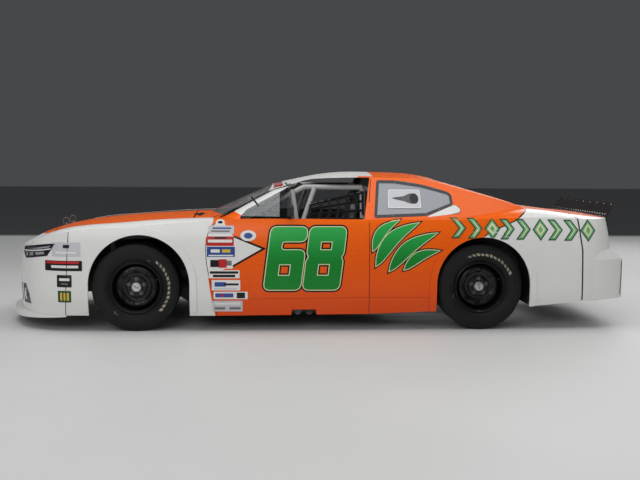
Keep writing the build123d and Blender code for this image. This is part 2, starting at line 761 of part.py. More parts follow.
# Members butt against each other, as welded tubes do, and each stays a solid of its own
def make_frame():
    half = rail_width / 2
    low, high = main_rail_z - rail_height / 2, main_rail_z + rail_height / 2
    reach = rail_y - half
    members = both(box(rail_front, rail_rear, reach, rail_y + half, low, high))
    members += [box(x, x + 76, -reach, reach, low, high) for x in (rail_front, arm_front - 76 - seam)]
    members += both(box(rail_rear - 76, rail_rear, rear_rail_y - half, reach, low, high))
    bracket = (clip_rail_y - half, spring_y + 58)
    clip_rail = join([
        ribbon(clip_run, rail_height, clip_rail_y - half, clip_rail_y + half),
        box(front_axle - 150, front_axle + 150, clip_rail_y - half, clip_rail_y + half, 300, arm_high + 26),
        box(front_axle - 70, front_axle + 70, clip_rail_y - half, clip_rail_y + half, 300, tower_top + 20),
        box(front_axle - 70, front_axle + 70, *bracket, tower_top, tower_top + 20)])
    members += both(clip_rail)
    members += both(ribbon(rear_run, 76, rear_rail_y - half, rear_rail_y + half))
    for x, z, wide, ahead in ((nose_tip + 300, 300, clip_rail_y - half, -1),
                              (tail_end - 396, 480, rear_rail_y - half, 1)):
        cross = box(x, x + 76, -wide, wide, z - 38, z + 38)
        members.append(cross.fuse(tow_eye(x if ahead < 0 else x + 76, z, ahead)))
    for run in pipe_runs:
        holes = [rod(p, q, pipe_radius + 6) for p, q in zip(run, run[1:])]
        members = [member.cut(*holes) for member in members]
    keep("frame_rails", Compound(members))


def make_pipes():
    keep("exhaust_pipes", Compound([tube_run(run, pipe_radius, pipe_bend) for run in pipe_runs]))


tunnel_half_width, tunnel_top = 150.0, 430.0
firewall_top = 850.0


def make_floor(cavity, ears):
    hat = [(-far, floor_height), (-tunnel_half_width, floor_height), (-tunnel_half_width, tunnel_top),
           (tunnel_half_width, tunnel_top), (tunnel_half_width, floor_height), (far, floor_height),
           (far, floor_height + sheet), (tunnel_half_width + sheet, floor_height + sheet),
           (tunnel_half_width + sheet, tunnel_top + sheet),
           (-tunnel_half_width - sheet, tunnel_top + sheet),
           (-tunnel_half_width - sheet, floor_height + sheet), (-far, floor_height + sheet)]
    floor = Solid.extrude(Face(across(hat, floor_front)), Vector(floor_rear - floor_front, 0, 0))
    walls = [box(x, x + sheet, -far, far, floor_height, firewall_top)
             - box(x - 1, x + sheet + 1, -tunnel_half_width, tunnel_half_width, 0, tunnel_top)
             for x in (floor_front, floor_rear - sheet)]
    holes = [rod((post_x, s * post_y, post_top - 70), (nose_stay[0], s * nose_stay[1], 700),
                 cage_tube / 2 + seam) for s in (-1, 1)]
    keep("floor_pan", join([floor] + walls).fuse(*ears).cut(*holes) & cavity)


tub_inner, tub_room, tub_hole = 600.0, 18.0, 85.0
splash_x, splash_inner, splash_top, splash_low = front_axle + 440.0, clip_rail_y + 42.0, 700.0, 150.0


# Sheet behind the tyres: a tub over each rear wheel and a splash board behind each front one
def make_wheel_houses(cavity):
    radius = rear_arch_radius + tub_room
    room = arch(rear_axle, rear_arch_shift, radius)
    tub = arch(rear_axle, rear_arch_shift, radius, sheet) - room
    wall = room & box(-far, far, tub_inner, tub_inner + sheet, 0, far)
    wall = wall - rod((rear_axle, 0, tyre_radius), (rear_axle, far, tyre_radius), tub_hole)
    tub = (tub & box(-far, far, tub_inner, far, 0, far)).fuse(wall)
    board = box(splash_x, splash_x + sheet, splash_inner, far, splash_low, splash_top)
    keep("wheel_houses", Compound(both((tub - underside(lining_gap)) & cavity) + both(board & cavity)))


hoop_x = door_rear - 20.0
hoop_y, hoop_top, hoop_top_y, hoop_bend = 640.0, 1130.0, 545.0, 760.0
post_x, post_y, post_top = screen_base + 235.0, 690.0, 830.0
halo_front = front_axle + 1340.0
cage_foot = floor_height + sheet + seam
door_bars = ((330.0, 90.0), (460.0, 120.0), (590.0, 130.0), (740.0, 120.0))
stay_foot = (rear_axle + 250.0, rear_rail_y, 600.0 + 38 + seam)
nose_stay = (front_axle - 250.0, clip_rail_y, 351.0 + seam)


deck_post_x = deck_front - 30.0
dash_under = 770.0
# the cage is jointed this far clear of its bends, and above its door bars
cage_joint, halo_joint = 8.0, 800.0


# Each group of tubes is a little thinner than the one before, so that no two walls touch in a line
thinner = 0.6


def make_cage(core):
    ears = hinge_ears(deck_front + hinge_inset, hinge_height(core, deck_front + hinge_inset),
                      deck_post_x)
    main, bars, cross, diagonal = (cage_tube / 2 - thinner * step for step in range(4))
    runs = []
    for s in (-1, 1):
        runs.append((main, [(hoop_x, s * hoop_y, cage_foot), (hoop_x, s * hoop_y, hoop_bend),
                            (hoop_x, s * hoop_top_y, hoop_top), (hoop_x, 0, hoop_top)]))
        runs.append((main, [(hoop_x, s * hoop_top_y, hoop_top),
                            (halo_front, s * (hoop_top_y - 60), hoop_top),
                            (post_x, s * post_y, post_top), (post_x, s * post_y, cage_foot)]))
        for z, bulge in door_bars:
            runs.append((bars, [(hoop_x, s * hoop_y, z), (hoop_x - 330, s * (hoop_y + bulge), z),
                                (post_x + 330, s * (post_y + bulge - 40), z),
                                (post_x, s * post_y, z)]))
        foot_x, foot_y, foot_z = stay_foot
        runs.append((bars, [(hoop_x, s * (hoop_top_y - 60), hoop_top),
                            (foot_x, s * foot_y, foot_z + 90), (foot_x, s * foot_y, foot_z)]))
        foot_x, foot_y, foot_z = nose_stay
        runs.append((bars, [(post_x, s * post_y, post_top - 70), (foot_x, s * foot_y, 700),
                            (foot_x, s * foot_y, foot_z)]))
    runs.append((cross, [(halo_front, hoop_top_y - 60, hoop_top),
                         (halo_front, 60 - hoop_top_y, hoop_top)]))
    bar_z = dash_under - seam - cross
    runs.append((cross, [(post_x, post_y, bar_z), (post_x, -post_y, bar_z)]))
    post_foot = rear_rail_height(deck_post_x - cage_tube / 2) + 38 + seam
    beam = hinge_height(core, deck_front + hinge_inset) - ear_drop - ear_bar / 2
    runs.append((main, [(deck_post_x, -rear_rail_y, post_foot), (deck_post_x, -rear_rail_y, beam),
                        (deck_post_x, rear_rail_y, beam), (deck_post_x, rear_rail_y, post_foot)]))
    runs.append((cross, [(hoop_x, hoop_y, hoop_bend), (hoop_x, -hoop_y, hoop_bend)]))
    runs.append((diagonal, [(hoop_x, -hoop_y, 300), (hoop_x, 0, hoop_bend),
                            (hoop_x, hoop_top_y - 40, hoop_top)]))
    cage = join([tube_run(points, radius, cage_bend) for radius, points in runs] + ears)
    side, low, high = hoop_top_y - 60 - cage_tube / 2 - cage_joint, cage_foot - 1, halo_joint
    fore, aft, rear = post_x - cage_joint * 4, hoop_x - cage_joint * 4, hoop_x + cage_joint * 4
    for name, near, away in (("door_bars_left", -far, -side), ("door_bars_right", side, far)):
        keep(name, Compound((cage & box(fore, aft, near, away, low, high)).solids()))
    cells = [(-far, fore, -far, far, 0, far), (aft, rear, -far, far, 0, far),
             (rear, far, -far, far, 0, far), (fore, aft, -side, side, low, high)]
    cells += [(fore, aft, near, away, high, far) for near, away in
              ((-far, -side), (-side, side), (side, far))]
    keep("roll_cage", Compound([part for cell in cells for part in (cage & box(*cell)).solids()]))


seat_half, wing = 175.0, 32.0


def make_cabin():
    dash = [(post_x - 40, 700), (post_x - 40, dash_under + 20, 10), (post_x + 110, dash_under + 30),
            (post_x + 150, 640), (post_x + 130, 640), (post_x + 95, dash_under),
            (post_x - 25, dash_under), (post_x - 25, 700)]
    side = post_y - cage_tube / 2 - 15
    keep("dash_panel", side_prism(dash, -side, side) - column_rod(column_radius + seam, 600))
    seat = side_prism([(hoop_x - 520, floor_height + sheet + seam), (hoop_x - 540, 360, 6),
                       (hoop_x - 190, 330, 8), (hoop_x - 110, 800), (hoop_x - 90, 1010),
                       (hoop_x - 50, 1010), (hoop_x - 50, 780), (hoop_x - 120, floor_height + sheet + seam)],
                      driver_y - seat_half, driver_y + seat_half)
    wings = side_prism([(hoop_x - 400, 330), (hoop_x - 400, 420, 20), (hoop_x - 200, 520),
                        (hoop_x - 220, 840), (hoop_x - 80, 860), (hoop_x - 80, 330)],
                       driver_y - seat_half - wing, driver_y - seat_half)
    keep("seat", Compound([seat, wings, Pos(0, 2 * seat_half + wing, 0) * wings]))


net_low, net_high, net_length, strap, net_columns, net_rows = 800.0, 1060.0, 440.0, 20.0, 6, 4
net_thickness, net_gap = 4.0, 0.3


def make_net():
    slope = (hoop_y - hoop_top_y) / (hoop_top - hoop_bend)
    stand = (cage_tube / 2 + net_thickness / 2 + net_gap) * hypot(1, slope)
    frame = Plane(origin=(hoop_x, -hoop_y - stand + slope * (net_low - hoop_bend), net_low),
                  x_dir=(-1, 0, 0), z_dir=(0, 1, -slope))
    rise = hypot(net_high - net_low, slope * (net_high - net_low))
    straps = [Pos(strap / 2 + (net_length - strap) * i / (net_columns - 1), rise / 2, 0)
              * Box(strap, rise, net_thickness) for i in range(net_columns)]
    straps += [Pos(net_length / 2, strap / 2 + (rise - strap) * i / (net_rows - 1), 0)
               * Box(net_length, strap, net_thickness) for i in range(net_rows)]
    keep("window_net", frame * join(straps))


gearbox_end = floor_front + 520.0
shaft_radius = 45.0


def make_drive():
    block = box(engine_front, engine_rear, -engine_half_width, engine_half_width,
                engine_low, engine_high)
    lug_end = clip_rail_y - rail_width / 2 - seam
    lugs = box(engine_front + 200, engine_front + 260, -lug_end, lug_end, 310, 340)
    keep("engine_block", block.fuse(lugs))
    mid_z = tyre_radius - 20
    housing = rod((engine_rear + seam, 0, mid_z), (floor_front - seam, 0, mid_z), 100)
    box_run = rod((floor_front - seam, 0, mid_z), (gearbox_end, 0, mid_z), 88)
    shaft = rod((gearbox_end, 0, mid_z), (rear_axle - 155, 0, tyre_radius), shaft_radius)
    keep("driveline", join([housing, box_run, shaft]))


axle_tube, axle_centre_radius = 42.0, 148.0
arm_y, arm_front = 250.0, rear_axle - 1230.0


def make_rear_axle():
    tube = rod((rear_axle, -wheel_y + hub_back + 8, tyre_radius),
               (rear_axle, wheel_y - hub_back - 8, tyre_radius), axle_tube)
    stub = rod((rear_axle, 2 - wheel_disc_y, tyre_radius), (rear_axle, wheel_disc_y - 2, tyre_radius),
               spindle_radius)
    pot = Pos(rear_axle, 0, tyre_radius) * Rot(0, 90, 0) * Cylinder(axle_centre_radius, 190)
    nose = rod((rear_axle - 150, 0, tyre_radius), (rear_axle, 0, tyre_radius), 60)
    keep("rear_axle", join([tube, stub, pot, nose]))


def make_rear_suspension():
    pieces = []
    beam_z = main_rail_z
    spring_top = 600 - 38 - seam
    spring_low = tyre_radius + axle_tube + seam
    for y in (-arm_y, arm_y):
        arm = ribbon([(arm_front, beam_z), (floor_rear - 40, beam_z),
                      (rear_axle - 60, tyre_radius - 70), (rear_axle + 50, tyre_radius - 70)],
                     46, y - 19, y + 19)
        saddle = box(rear_axle - 52, rear_axle + 50, y - 19, y + 19, tyre_radius - 90, tyre_radius - 10)
        saddle = saddle - rod((rear_axle, -900, tyre_radius), (rear_axle, 900, tyre_radius),
                              axle_tube + seam)
        pieces.append(arm.fuse(saddle) - rod((rear_axle, -900, tyre_radius),
                                             (rear_axle, 900, tyre_radius), axle_tube + seam))
    for y in (-rear_rail_y, rear_rail_y):
        pieces.append(Pos(rear_axle, y, (spring_top + spring_low) / 2)
                      * Cylinder(58, spring_top - spring_low))
    keep("rear_suspension", Compound(pieces))


radiator_half, cell_front, cell_length, cell_half, cell_low = 300.0, rear_axle + 520.0, 300.0, 330.0, 320.0


def make_radiator_and_cell():
    keep("radiator", box(nose_tip + 308, nose_tip + 368, -radiator_half, radiator_half,
                         338 + seam, 610))
    top = rear_rail_height(cell_front + cell_length) - 38
    cell = box(cell_front, cell_front + cell_length, -cell_half, cell_half, cell_low, top + 60)
    flange = box(cell_front, cell_front + cell_length, -rear_rail_y + rail_width / 2 + seam,
                 rear_rail_y - rail_width / 2 - seam, top, top + 8)
    keep("fuel_cell", cell.fuse(flange))


mirror_x, mirror_y, mirror_z = front_axle + 1214.0, 922.0, 952.0


def make_mirror(core):
    head = Pos(mirror_x, -mirror_y, mirror_z) * Box(52, 104, 84)
    head = fillet(head.edges().filter_by(Axis.X), 18)
    stalk = rod((mirror_x, -mirror_y, mirror_z - 20), (mirror_x, -mirror_y + 70, mirror_z - 120), 9)
    keep("side_mirror", head.fuse(stalk) - core)


plate_area = [(pillar_top + 80, 1114), (pillar_top + 340, 1114), (pillar_top + 322, 975),
              (pillar_top + 64, 975)]
duct_tip_x, duct_tip_z = pillar_top + 84, 1046.0
duct_mouth_x, duct_mouth_half = pillar_top + 290, 36.0
plate_stand = 1.5


def make_window_ducts():
    plate = cabin_core(-plate_stand) - cabin_core(glass_inset - seam)
    taper = [(duct_tip_x, duct_tip_z, -8), (duct_mouth_x, duct_tip_z + duct_mouth_half),
             (duct_mouth_x, duct_tip_z - duct_mouth_half, -8)]
    keep("window_ducts", (plate & window_prism(plate_area)) - window_prism(taper))


def write_parts():
    os.makedirs("parts", exist_ok=True)
    for name, shape in solids.items():
        export_step(shape, "parts/" + name + ".step")


shell = body_shell()
core = body_core(0).fuse(bumper_bulge(0))
cavity = body_core(skin + lining_gap)
make_nose_and_grille(shell)
make_splitter()
make_side_panels(shell)
make_lids(shell, core)
make_spoiler(core)
make_greenhouse(body_core(-roof_stand))
make_wheels()
make_front_arms()
make_knuckles()
make_front_springs()
make_steering_rack()
make_steering()
make_frame()
make_pipes()
make_wheel_houses(cavity)
hood_hinge_x = hood_rear - hinge_inset
make_floor(cavity, hinge_ears(hood_hinge_x, hinge_height(core, hood_hinge_x), floor_front))
make_cage(core)
make_cabin()
make_net()
make_drive()
make_rear_axle()
make_rear_suspension()
make_radiator_and_cell()
make_mirror(core)
make_window_ducts()
print("hood hinge axis", hood_hinge_x, hinge_height(core, hood_hinge_x))
print("deck hinge axis", deck_front + hinge_inset, hinge_height(core, deck_front + hinge_inset))
write_parts()
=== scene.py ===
import bpy
import bmesh
from math import atan2, cos, hypot, pi, radians, sin
from mathutils import Matrix, Vector
from mathutils.bvhtree import BVHTree
from mathutils.geometry import tessellate_polygon


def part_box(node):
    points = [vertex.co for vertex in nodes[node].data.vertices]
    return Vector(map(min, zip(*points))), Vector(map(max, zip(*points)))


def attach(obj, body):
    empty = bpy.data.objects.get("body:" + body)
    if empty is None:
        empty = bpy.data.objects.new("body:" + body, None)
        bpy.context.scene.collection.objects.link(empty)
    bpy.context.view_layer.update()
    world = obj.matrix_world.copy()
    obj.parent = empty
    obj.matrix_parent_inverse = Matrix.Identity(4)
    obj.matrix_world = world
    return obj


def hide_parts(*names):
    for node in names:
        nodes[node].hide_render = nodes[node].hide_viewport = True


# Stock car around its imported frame. Metres, -X is the nose, -Y the driver's side, +Z up.
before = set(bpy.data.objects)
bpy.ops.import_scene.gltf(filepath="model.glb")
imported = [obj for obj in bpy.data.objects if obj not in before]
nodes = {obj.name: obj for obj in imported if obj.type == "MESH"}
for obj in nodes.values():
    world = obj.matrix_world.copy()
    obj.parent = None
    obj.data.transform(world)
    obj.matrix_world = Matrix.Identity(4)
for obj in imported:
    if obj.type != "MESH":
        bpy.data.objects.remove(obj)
scene = bpy.context.scene
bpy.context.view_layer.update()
sides = {"Left": -1, "Right": 1}
wheelBodies = {"wheel_fl": -1, "wheel_fr": 1, "wheel_rl": -1, "wheel_rr": 1}
print("frame loaded,", len(nodes), "nodes")


# camera and light
cameraView = {"place": (-0.4977, -8.6017, 1.3269), "yaw": 0.0662, "pitch": 0.0784,
              "roll": 0.0058, "lens": 54.76}


def makeCamera(view):
    yaw, pitch, roll = view["yaw"], view["pitch"], view["roll"]
    ahead = Vector((sin(yaw) * cos(pitch), cos(yaw) * cos(pitch), -sin(pitch)))
    right = Vector((cos(yaw), -sin(yaw), 0))
    up = right.cross(ahead)
    rightTilted = right * cos(roll) + up * sin(roll)
    upTilted = up * cos(roll) - right * sin(roll)
    data = bpy.data.cameras.new("camera")
    data.lens = view["lens"]
    camera = bpy.data.objects.new("camera", data)
    scene.collection.objects.link(camera)
    turn = Matrix((rightTilted, upTilted, -ahead)).transposed().to_4x4()
    camera.matrix_world = Matrix.Translation(view["place"]) @ turn
    scene.camera = camera


makeCamera(cameraView)
scene.view_settings.view_transform = "Standard"


# node helpers: a socket takes a value, or a link from another node's output
def feed(tree, value, socket):
    if isinstance(value, bpy.types.NodeSocket):
        tree.links.new(value, socket)
    else:
        socket.default_value = value


def addNode(tree, kind, inputs=None, **settings):
    made = tree.nodes.new("ShaderNode" + kind)
    for name, value in settings.items():
        setattr(made, name, value)
    for name, value in (inputs or {}).items():
        feed(tree, value, made.inputs[name])
    return made


def calc(tree, operation, a, b=0.0, clamp=False):
    return addNode(tree, "Math", {0: a, 1: b}, operation=operation, use_clamp=clamp).outputs[0]


def times(tree, a, b, clamp=False):
    return calc(tree, "MULTIPLY", a, b, clamp)


def plus(tree, a, b, clamp=False):
    return calc(tree, "ADD", a, b, clamp)


def above(tree, a, b):
    return calc(tree, "GREATER_THAN", a, b)


def below(tree, a, b):
    return calc(tree, "LESS_THAN", a, b)


def mixColour(tree, mask, a, b):
    return addNode(tree, "Mix", {0: mask, 6: a, 7: b}, data_type="RGBA").outputs[2]


def objectPlace(tree):
    return addNode(tree, "TexCoord").outputs["Object"]


def axisOf(tree, place, axis):
    return addNode(tree, "SeparateXYZ", {"Vector": place}).outputs[axis]


def noise(tree, place, scale, detail, rough=0.5):
    return addNode(tree, "TexNoise", {"Vector": place, "Scale": scale, "Detail": detail,
                                      "Roughness": rough}).outputs["Fac"]


def ramp(tree, value, low, high, toLow=0.0, toHigh=1.0):
    return addNode(tree, "MapRange", {"Value": value, "From Min": low, "From Max": high,
                                      "To Min": toLow, "To Max": toHigh}).outputs[0]


# node group with Color, Roughness and Height outputs, from input names and starting values
def newGroup(name, **inputs):
    group = bpy.data.node_groups.new(name, "ShaderNodeTree")
    for socketName, value in inputs.items():
        kind = "NodeSocketColor" if isinstance(value, tuple) else "NodeSocketFloat"
        socket = group.interface.new_socket(socketName.replace("_", " "), in_out="INPUT", socket_type=kind)
        socket.default_value = value
    for socketName, kind in (("Color", "Color"), ("Roughness", "Float"), ("Height", "Float")):
        group.interface.new_socket(socketName, in_out="OUTPUT", socket_type="NodeSocket" + kind)
    return group, group.nodes.new("NodeGroupInput").outputs


def giveOut(group, *outputs):
    result = group.nodes.new("NodeGroupOutput")
    for output, socket in zip(outputs, result.inputs):
        group.links.new(output, socket)
    return group


# dust low on the body, faint blotches and fine scratches
def makeTrackDust():
    group, given = newGroup("trackDust", Color=(0.8, 0.8, 0.8, 1), Dust_Color=(0.2, 0.17, 0.14, 1), Dust=0.25,
                            Fade_Height=0.55, Roughness=0.2)
    place = objectPlace(group)
    height = axisOf(group, place, "Z")
    fade = calc(group, "SUBTRACT", 1.0, calc(group, "DIVIDE", height, given["Fade Height"]), True)
    fade = calc(group, "POWER", fade, 1.6)
    blotch = noise(group, place, 5.0, 6.0, 0.62)
    speck = noise(group, place, 170.0, 2.0)
    stretched = addNode(group, "Mapping", {"Vector": place, "Scale": (1.2, 8.0, 46.0)}).outputs[0]
    scratch = noise(group, stretched, 7.0, 5.0)
    dirt = times(group, ramp(group, blotch, 0.36, 0.7), fade)
    dirt = plus(group, dirt, times(group, ramp(group, speck, 0.62, 0.8), fade), True)
    dirt = times(group, dirt, given["Dust"], True)
    shade = ramp(group, blotch, 0.3, 0.75, 0.965, 1.02)
    toned = addNode(group, "VectorMath", {0: given["Color"], 1: shade}, operation="MULTIPLY")
    colour = mixColour(group, dirt, toned.outputs[0], given["Dust Color"])
    rough = plus(group, given["Roughness"], times(group, dirt, 0.5))
    rough = plus(group, rough, ramp(group, scratch, 0.45, 0.75, 0.0, 0.08), True)
    wave = noise(group, place, 420.0, 1.0)
    return giveOut(group, colour, rough, plus(group, times(group, wave, 0.5), dirt))


# grain of rubber, plastic, cast metal or rough paint
def makeFineGrain():
    group, given = newGroup("fineGrain", Color=(0.1, 0.1, 0.1, 1), Worn_Color=(0.2, 0.2, 0.2, 1), Wear=0.3,
                            Scale=300.0, Roughness=0.5)
    place = objectPlace(group)
    fine = noise(group, place, given["Scale"], 3.0)
    broad = noise(group, place, 9.0, 5.0)
    worn = times(group, ramp(group, broad, 0.42, 0.72), given["Wear"])
    specks = times(group, ramp(group, fine, 0.55, 0.8), given["Wear"])
    worn = plus(group, worn, specks, True)
    rough = plus(group, given["Roughness"], ramp(group, broad, 0.3, 0.7, -0.06, 0.1), True)
    return giveOut(group, mixColour(group, worn, given["Color"], given["Worn Color"]), rough, fine)


# crossed yarns of webbing and cloth
def makeYarnWeave():
    group, given = newGroup("yarnWeave", Color=(0.02, 0.02, 0.02, 1), Light_Color=(0.08, 0.08, 0.08, 1),
                            Scale=420.0)
    place = objectPlace(group)
    yarn = {"Vector": place, "Scale": given["Scale"], "Distortion": 0.6}
    warp, weft = [addNode(group, "TexWave", yarn, bands_direction=way).outputs["Fac"] for way in "XZ"]
    knit = times(group, warp, weft)
    colour = mixColour(group, knit, given["Color"], given["Light Color"])
    return giveOut(group, colour, ramp(group, knit, 0.0, 1.0, 0.95, 0.72), knit)


# rolled or brushed metal, with dull stains
def makeMillFinish():
    group, given = newGroup("millFinish", Color=(0.5, 0.5, 0.5, 1), Stain_Color=(0.2, 0.18, 0.16, 1),
                            Stain=0.4, Roughness=0.3)
    place = objectPlace(group)
    lengthwise = addNode(group, "Mapping", {"Vector": place, "Scale": (3.0, 40.0, 90.0)}).outputs[0]
    lines = noise(group, lengthwise, 8.0, 4.0)
    cloud = noise(group, place, 11.0, 6.0)
    stain = times(group, ramp(group, cloud, 0.45, 0.7), given["Stain"], True)
    colour = mixColour(group, stain, given["Color"], given["Stain Color"])
    rough = plus(group, given["Roughness"], ramp(group, lines, 0.3, 0.7, -0.08, 0.12))
    rough = plus(group, rough, times(group, stain, 0.3), True)
    return giveOut(group, colour, rough, lines)


trackDust, fineGrain = makeTrackDust(), makeFineGrain()
yarnWeave, millFinish = makeYarnWeave(), makeMillFinish()
finishes = {}  # every material by its name


def newMaterial(name, **shader):
    material = finishes[name] = bpy.data.materials.new(name)
    material.use_nodes = True
    tree = material.node_tree
    principled = tree.nodes["Principled BSDF"]
    for socket, value in shader.items():
        principled.inputs[socket.replace("_", " ")].default_value = value
    return material, tree, principled


def applyGroup(tree, principled, group, bump, distance, **inputs):
    placed = addNode(tree, "Group", node_tree=group)
    for name, value in inputs.items():
        feed(tree, value, placed.inputs[name.replace("_", " ")])
    relief = addNode(tree, "Bump", {"Strength": bump, "Distance": distance,
                                    "Height": placed.outputs["Height"]})
    for name, output in (("Base Color", placed.outputs["Color"]), ("Roughness", placed.outputs["Roughness"]),
                         ("Normal", relief.outputs[0])):
        tree.links.new(output, principled.inputs[name])


def rgb(r, g, b):
    return (r, g, b, 1.0)


# the deeper orange is painted shade for the lower body
white, orange, orangeInPaintedShade = rgb(0.74, 0.735, 0.71), rgb(0.9, 0.128, 0.001), rgb(0.74, 0.07, 0.0005)
green, greenLight = rgb(0.005, 0.215, 0.025), rgb(0.03, 0.42, 0.085)
cream, ink = rgb(0.7, 0.72, 0.42), rgb(0.01, 0.01, 0.012)

# where the white tail begins: x by height on the flanks
tailLine = {"heights": (0.7, 1.0), "reach": (1.2, 1.8),
            "points": [(1.316, 0.7), (1.324, 0.753), (1.374, 0.788), (1.584, 0.875),
                       (1.63, 0.906), (1.724, 0.961), (1.745, 0.98), (1.765, 1.0)]}
roofSplit = 0.47


def plainColour(colour):
    return lambda tree, x, z: colour


# painted shade: the orange turns darker towards the bottom of the body, standing in for the shade under light
# from above
def orangeFade(tree, x, z):
    return mixColour(tree, ramp(tree, z, 0.15, 0.86), orangeInPaintedShade, orange)


def tailColour(tree, x, z):
    low, high = tailLine["heights"]
    near, far = tailLine["reach"]
    curve = addNode(tree, "FloatCurve", {"Value": ramp(tree, z, low, high)})
    points = curve.mapping.curves[0].points
    for number, (lineX, lineZ) in enumerate(tailLine["points"]):
        spot = ((lineZ - low) / (high - low), (lineX - near) / (far - near))
        if number in (0, len(tailLine["points"]) - 1):
            points[0 if number == 0 else -1].location = spot
        else:
            points.new(*spot)
    for point in points:
        point.handle_type = "VECTOR"
    curve.mapping.update()
    edge = ramp(tree, curve.outputs[0], 0.0, 1.0, near, far)
    painted = mixColour(tree, above(tree, x, edge), orangeFade(tree, x, z), white)
    return mixColour(tree, shoulderMask(tree, x, z), painted, orange)


def offMiddle(tree):
    return calc(tree, "ABSOLUTE", axisOf(tree, objectPlace(tree), "Y"))


# the hood's colour runs a little way onto the nose, and the deck's over the tail's shoulders
def noseColour(tree, x, z):
    side = offMiddle(tree)
    edge = plus(tree, -2.285, times(tree, calc(tree, "POWER", side, 3.0), 0.55))
    mask = times(tree, above(tree, x, edge), below(tree, side, 0.57))
    mask = times(tree, mask, above(tree, z, 0.6))
    return mixColour(tree, mask, white, orange)


def shoulderMask(tree, x, z):
    side = offMiddle(tree)
    high = above(tree, z, ramp(tree, x, 1.75, 2.4, 0.968, 0.885))
    return times(tree, high, below(tree, side, ramp(tree, x, 1.6, 2.4, 0.8, 0.752)))


def bumperColour(tree, x, z):
    return mixColour(tree, shoulderMask(tree, x, z), white, orange)


def roofColour(tree, x, z):
    foot = below(tree, plus(tree, z, times(tree, x, 0.45)), 0.64)
    foot = times(tree, foot, below(tree, x, 0.0))
    mask = calc(tree, "MAXIMUM", foot, above(tree, x, roofSplit))
    return mixColour(tree, mask, white, orangeFade(tree, x, z))


# glossy body paint outside, dull primer inside
def paintMaterial(name, colourOf, flank=True, dust=0.14, rough=0.27):
    _, tree, shader = newMaterial(name, Coat_Weight=0.1, Coat_Roughness=0.14, Specular_IOR_Level=0.22)
    texture = addNode(tree, "TexCoord").outputs
    place, facing = [addNode(tree, "SeparateXYZ", {"Vector": texture[output]}).outputs
                     for output in ("Object", "Normal")]
    outer = colourOf(tree, place["X"], place["Z"])
    inward = times(tree, facing["Y"], place["Y"]) if flank else facing["Z"]
    inside = below(tree, inward, -0.05 if flank else -0.5)
    colour = mixColour(tree, inside, outer, rgb(0.035, 0.036, 0.038))
    applyGroup(tree, shader, trackDust, 0.04, 0.0006, Color=colour, Dust=dust, Roughness=rough)


def coatedMaterial(name, colour, worn, wear=0.3, scale=300.0, rough=0.5, bump=0.15, **shader):
    _, tree, principled = newMaterial(name, **shader)
    applyGroup(tree, principled, fineGrain, bump, 0.0008, Color=colour, Worn_Color=worn, Wear=wear,
               Scale=scale, Roughness=rough)


def metalMaterial(name, colour, stain, amount=0.4, rough=0.3, bump=0.06):
    _, tree, principled = newMaterial(name, Metallic=1.0)
    applyGroup(tree, principled, millFinish, bump, 0.0005, Color=colour, Stain_Color=stain,
               Stain=amount, Roughness=rough)


def clothMaterial(name, colour, light, scale):
    _, tree, principled = newMaterial(name, Sheen_Weight=0.25)
    applyGroup(tree, principled, yarnWeave, 0.5, 0.0006, Color=colour, Light_Color=light, Scale=scale)


# clear or smoked polycarbonate: mostly lets light through, with faint scuffs
def paneMaterial(name, colour, clear, rough):
    material, tree, shader = newMaterial(name, IOR=1.45)
    place = objectPlace(tree)
    scuff = noise(tree, place, 26.0, 6.0)
    shader.inputs["Base Color"].default_value = colour
    tree.links.new(ramp(tree, scuff, 0.35, 0.75, rough, rough + 0.12), shader.inputs["Roughness"])
    tree.links.new(ramp(tree, scuff, 0.3, 0.8, 1 - clear, 1 - clear + 0.07), shader.inputs["Alpha"])
    material.surface_render_method = "BLENDED"


paintMaterial("whiteFlank", plainColour(white))
paintMaterial("whiteTop", plainColour(white), flank=False)
paintMaterial("nosePaint", noseColour)
paintMaterial("bumperPaint", bumperColour)
paintMaterial("doorOrange", orangeFade)
paintMaterial("quarterPaint", tailColour)
paintMaterial("orangeTop", orangeFade, flank=False)
paintMaterial("roofPaint", roofColour, flank=False)
coatedMaterial("blackTrim", rgb(0.012, 0.012, 0.013), rgb(0.06, 0.06, 0.06), 0.25)
coatedMaterial("smokedPlastic", rgb(0.016, 0.013, 0.014), rgb(0.05, 0.045, 0.045), 0.2, 160.0, 0.22, 0.04)
coatedMaterial("framePaint", rgb(0.025, 0.026, 0.028), rgb(0.11, 0.1, 0.09), 0.35)
coatedMaterial("cagePaint", rgb(0.42, 0.42, 0.41), rgb(0.22, 0.21, 0.2), 0.2, 220.0, 0.32, 0.05)
coatedMaterial("tyreRubber", rgb(0.006, 0.006, 0.007), rgb(0.02, 0.019, 0.018), 0.4, 240.0, 0.62, 0.3,
               Specular_IOR_Level=0.3)
coatedMaterial("wheelBlack", rgb(0.003, 0.003, 0.0035), rgb(0.014, 0.011, 0.009), 0.18, 180.0, 0.3, 0.08,
               Specular_IOR_Level=0.4)
metalMaterial("steel", rgb(0.46, 0.45, 0.44), rgb(0.16, 0.12, 0.09), 0.5, 0.34)
metalMaterial("iron", rgb(0.14, 0.135, 0.13), rgb(0.09, 0.05, 0.03), 0.6, 0.55, 0.3)
metalMaterial("sheetMetal", rgb(0.5, 0.5, 0.5), rgb(0.25, 0.24, 0.22), 0.5, 0.38)
metalMaterial("alloy", rgb(0.62, 0.62, 0.63), rgb(0.3, 0.29, 0.28), 0.35, 0.3)
clothMaterial("webbing", rgb(0.003, 0.003, 0.0035), rgb(0.014, 0.014, 0.015), 90.0)
paneMaterial("clearPane", rgb(0.55, 0.57, 0.58), 0.84, 0.05)
paneMaterial("greyPane", rgb(0.36, 0.38, 0.41), 0.22, 0.16)

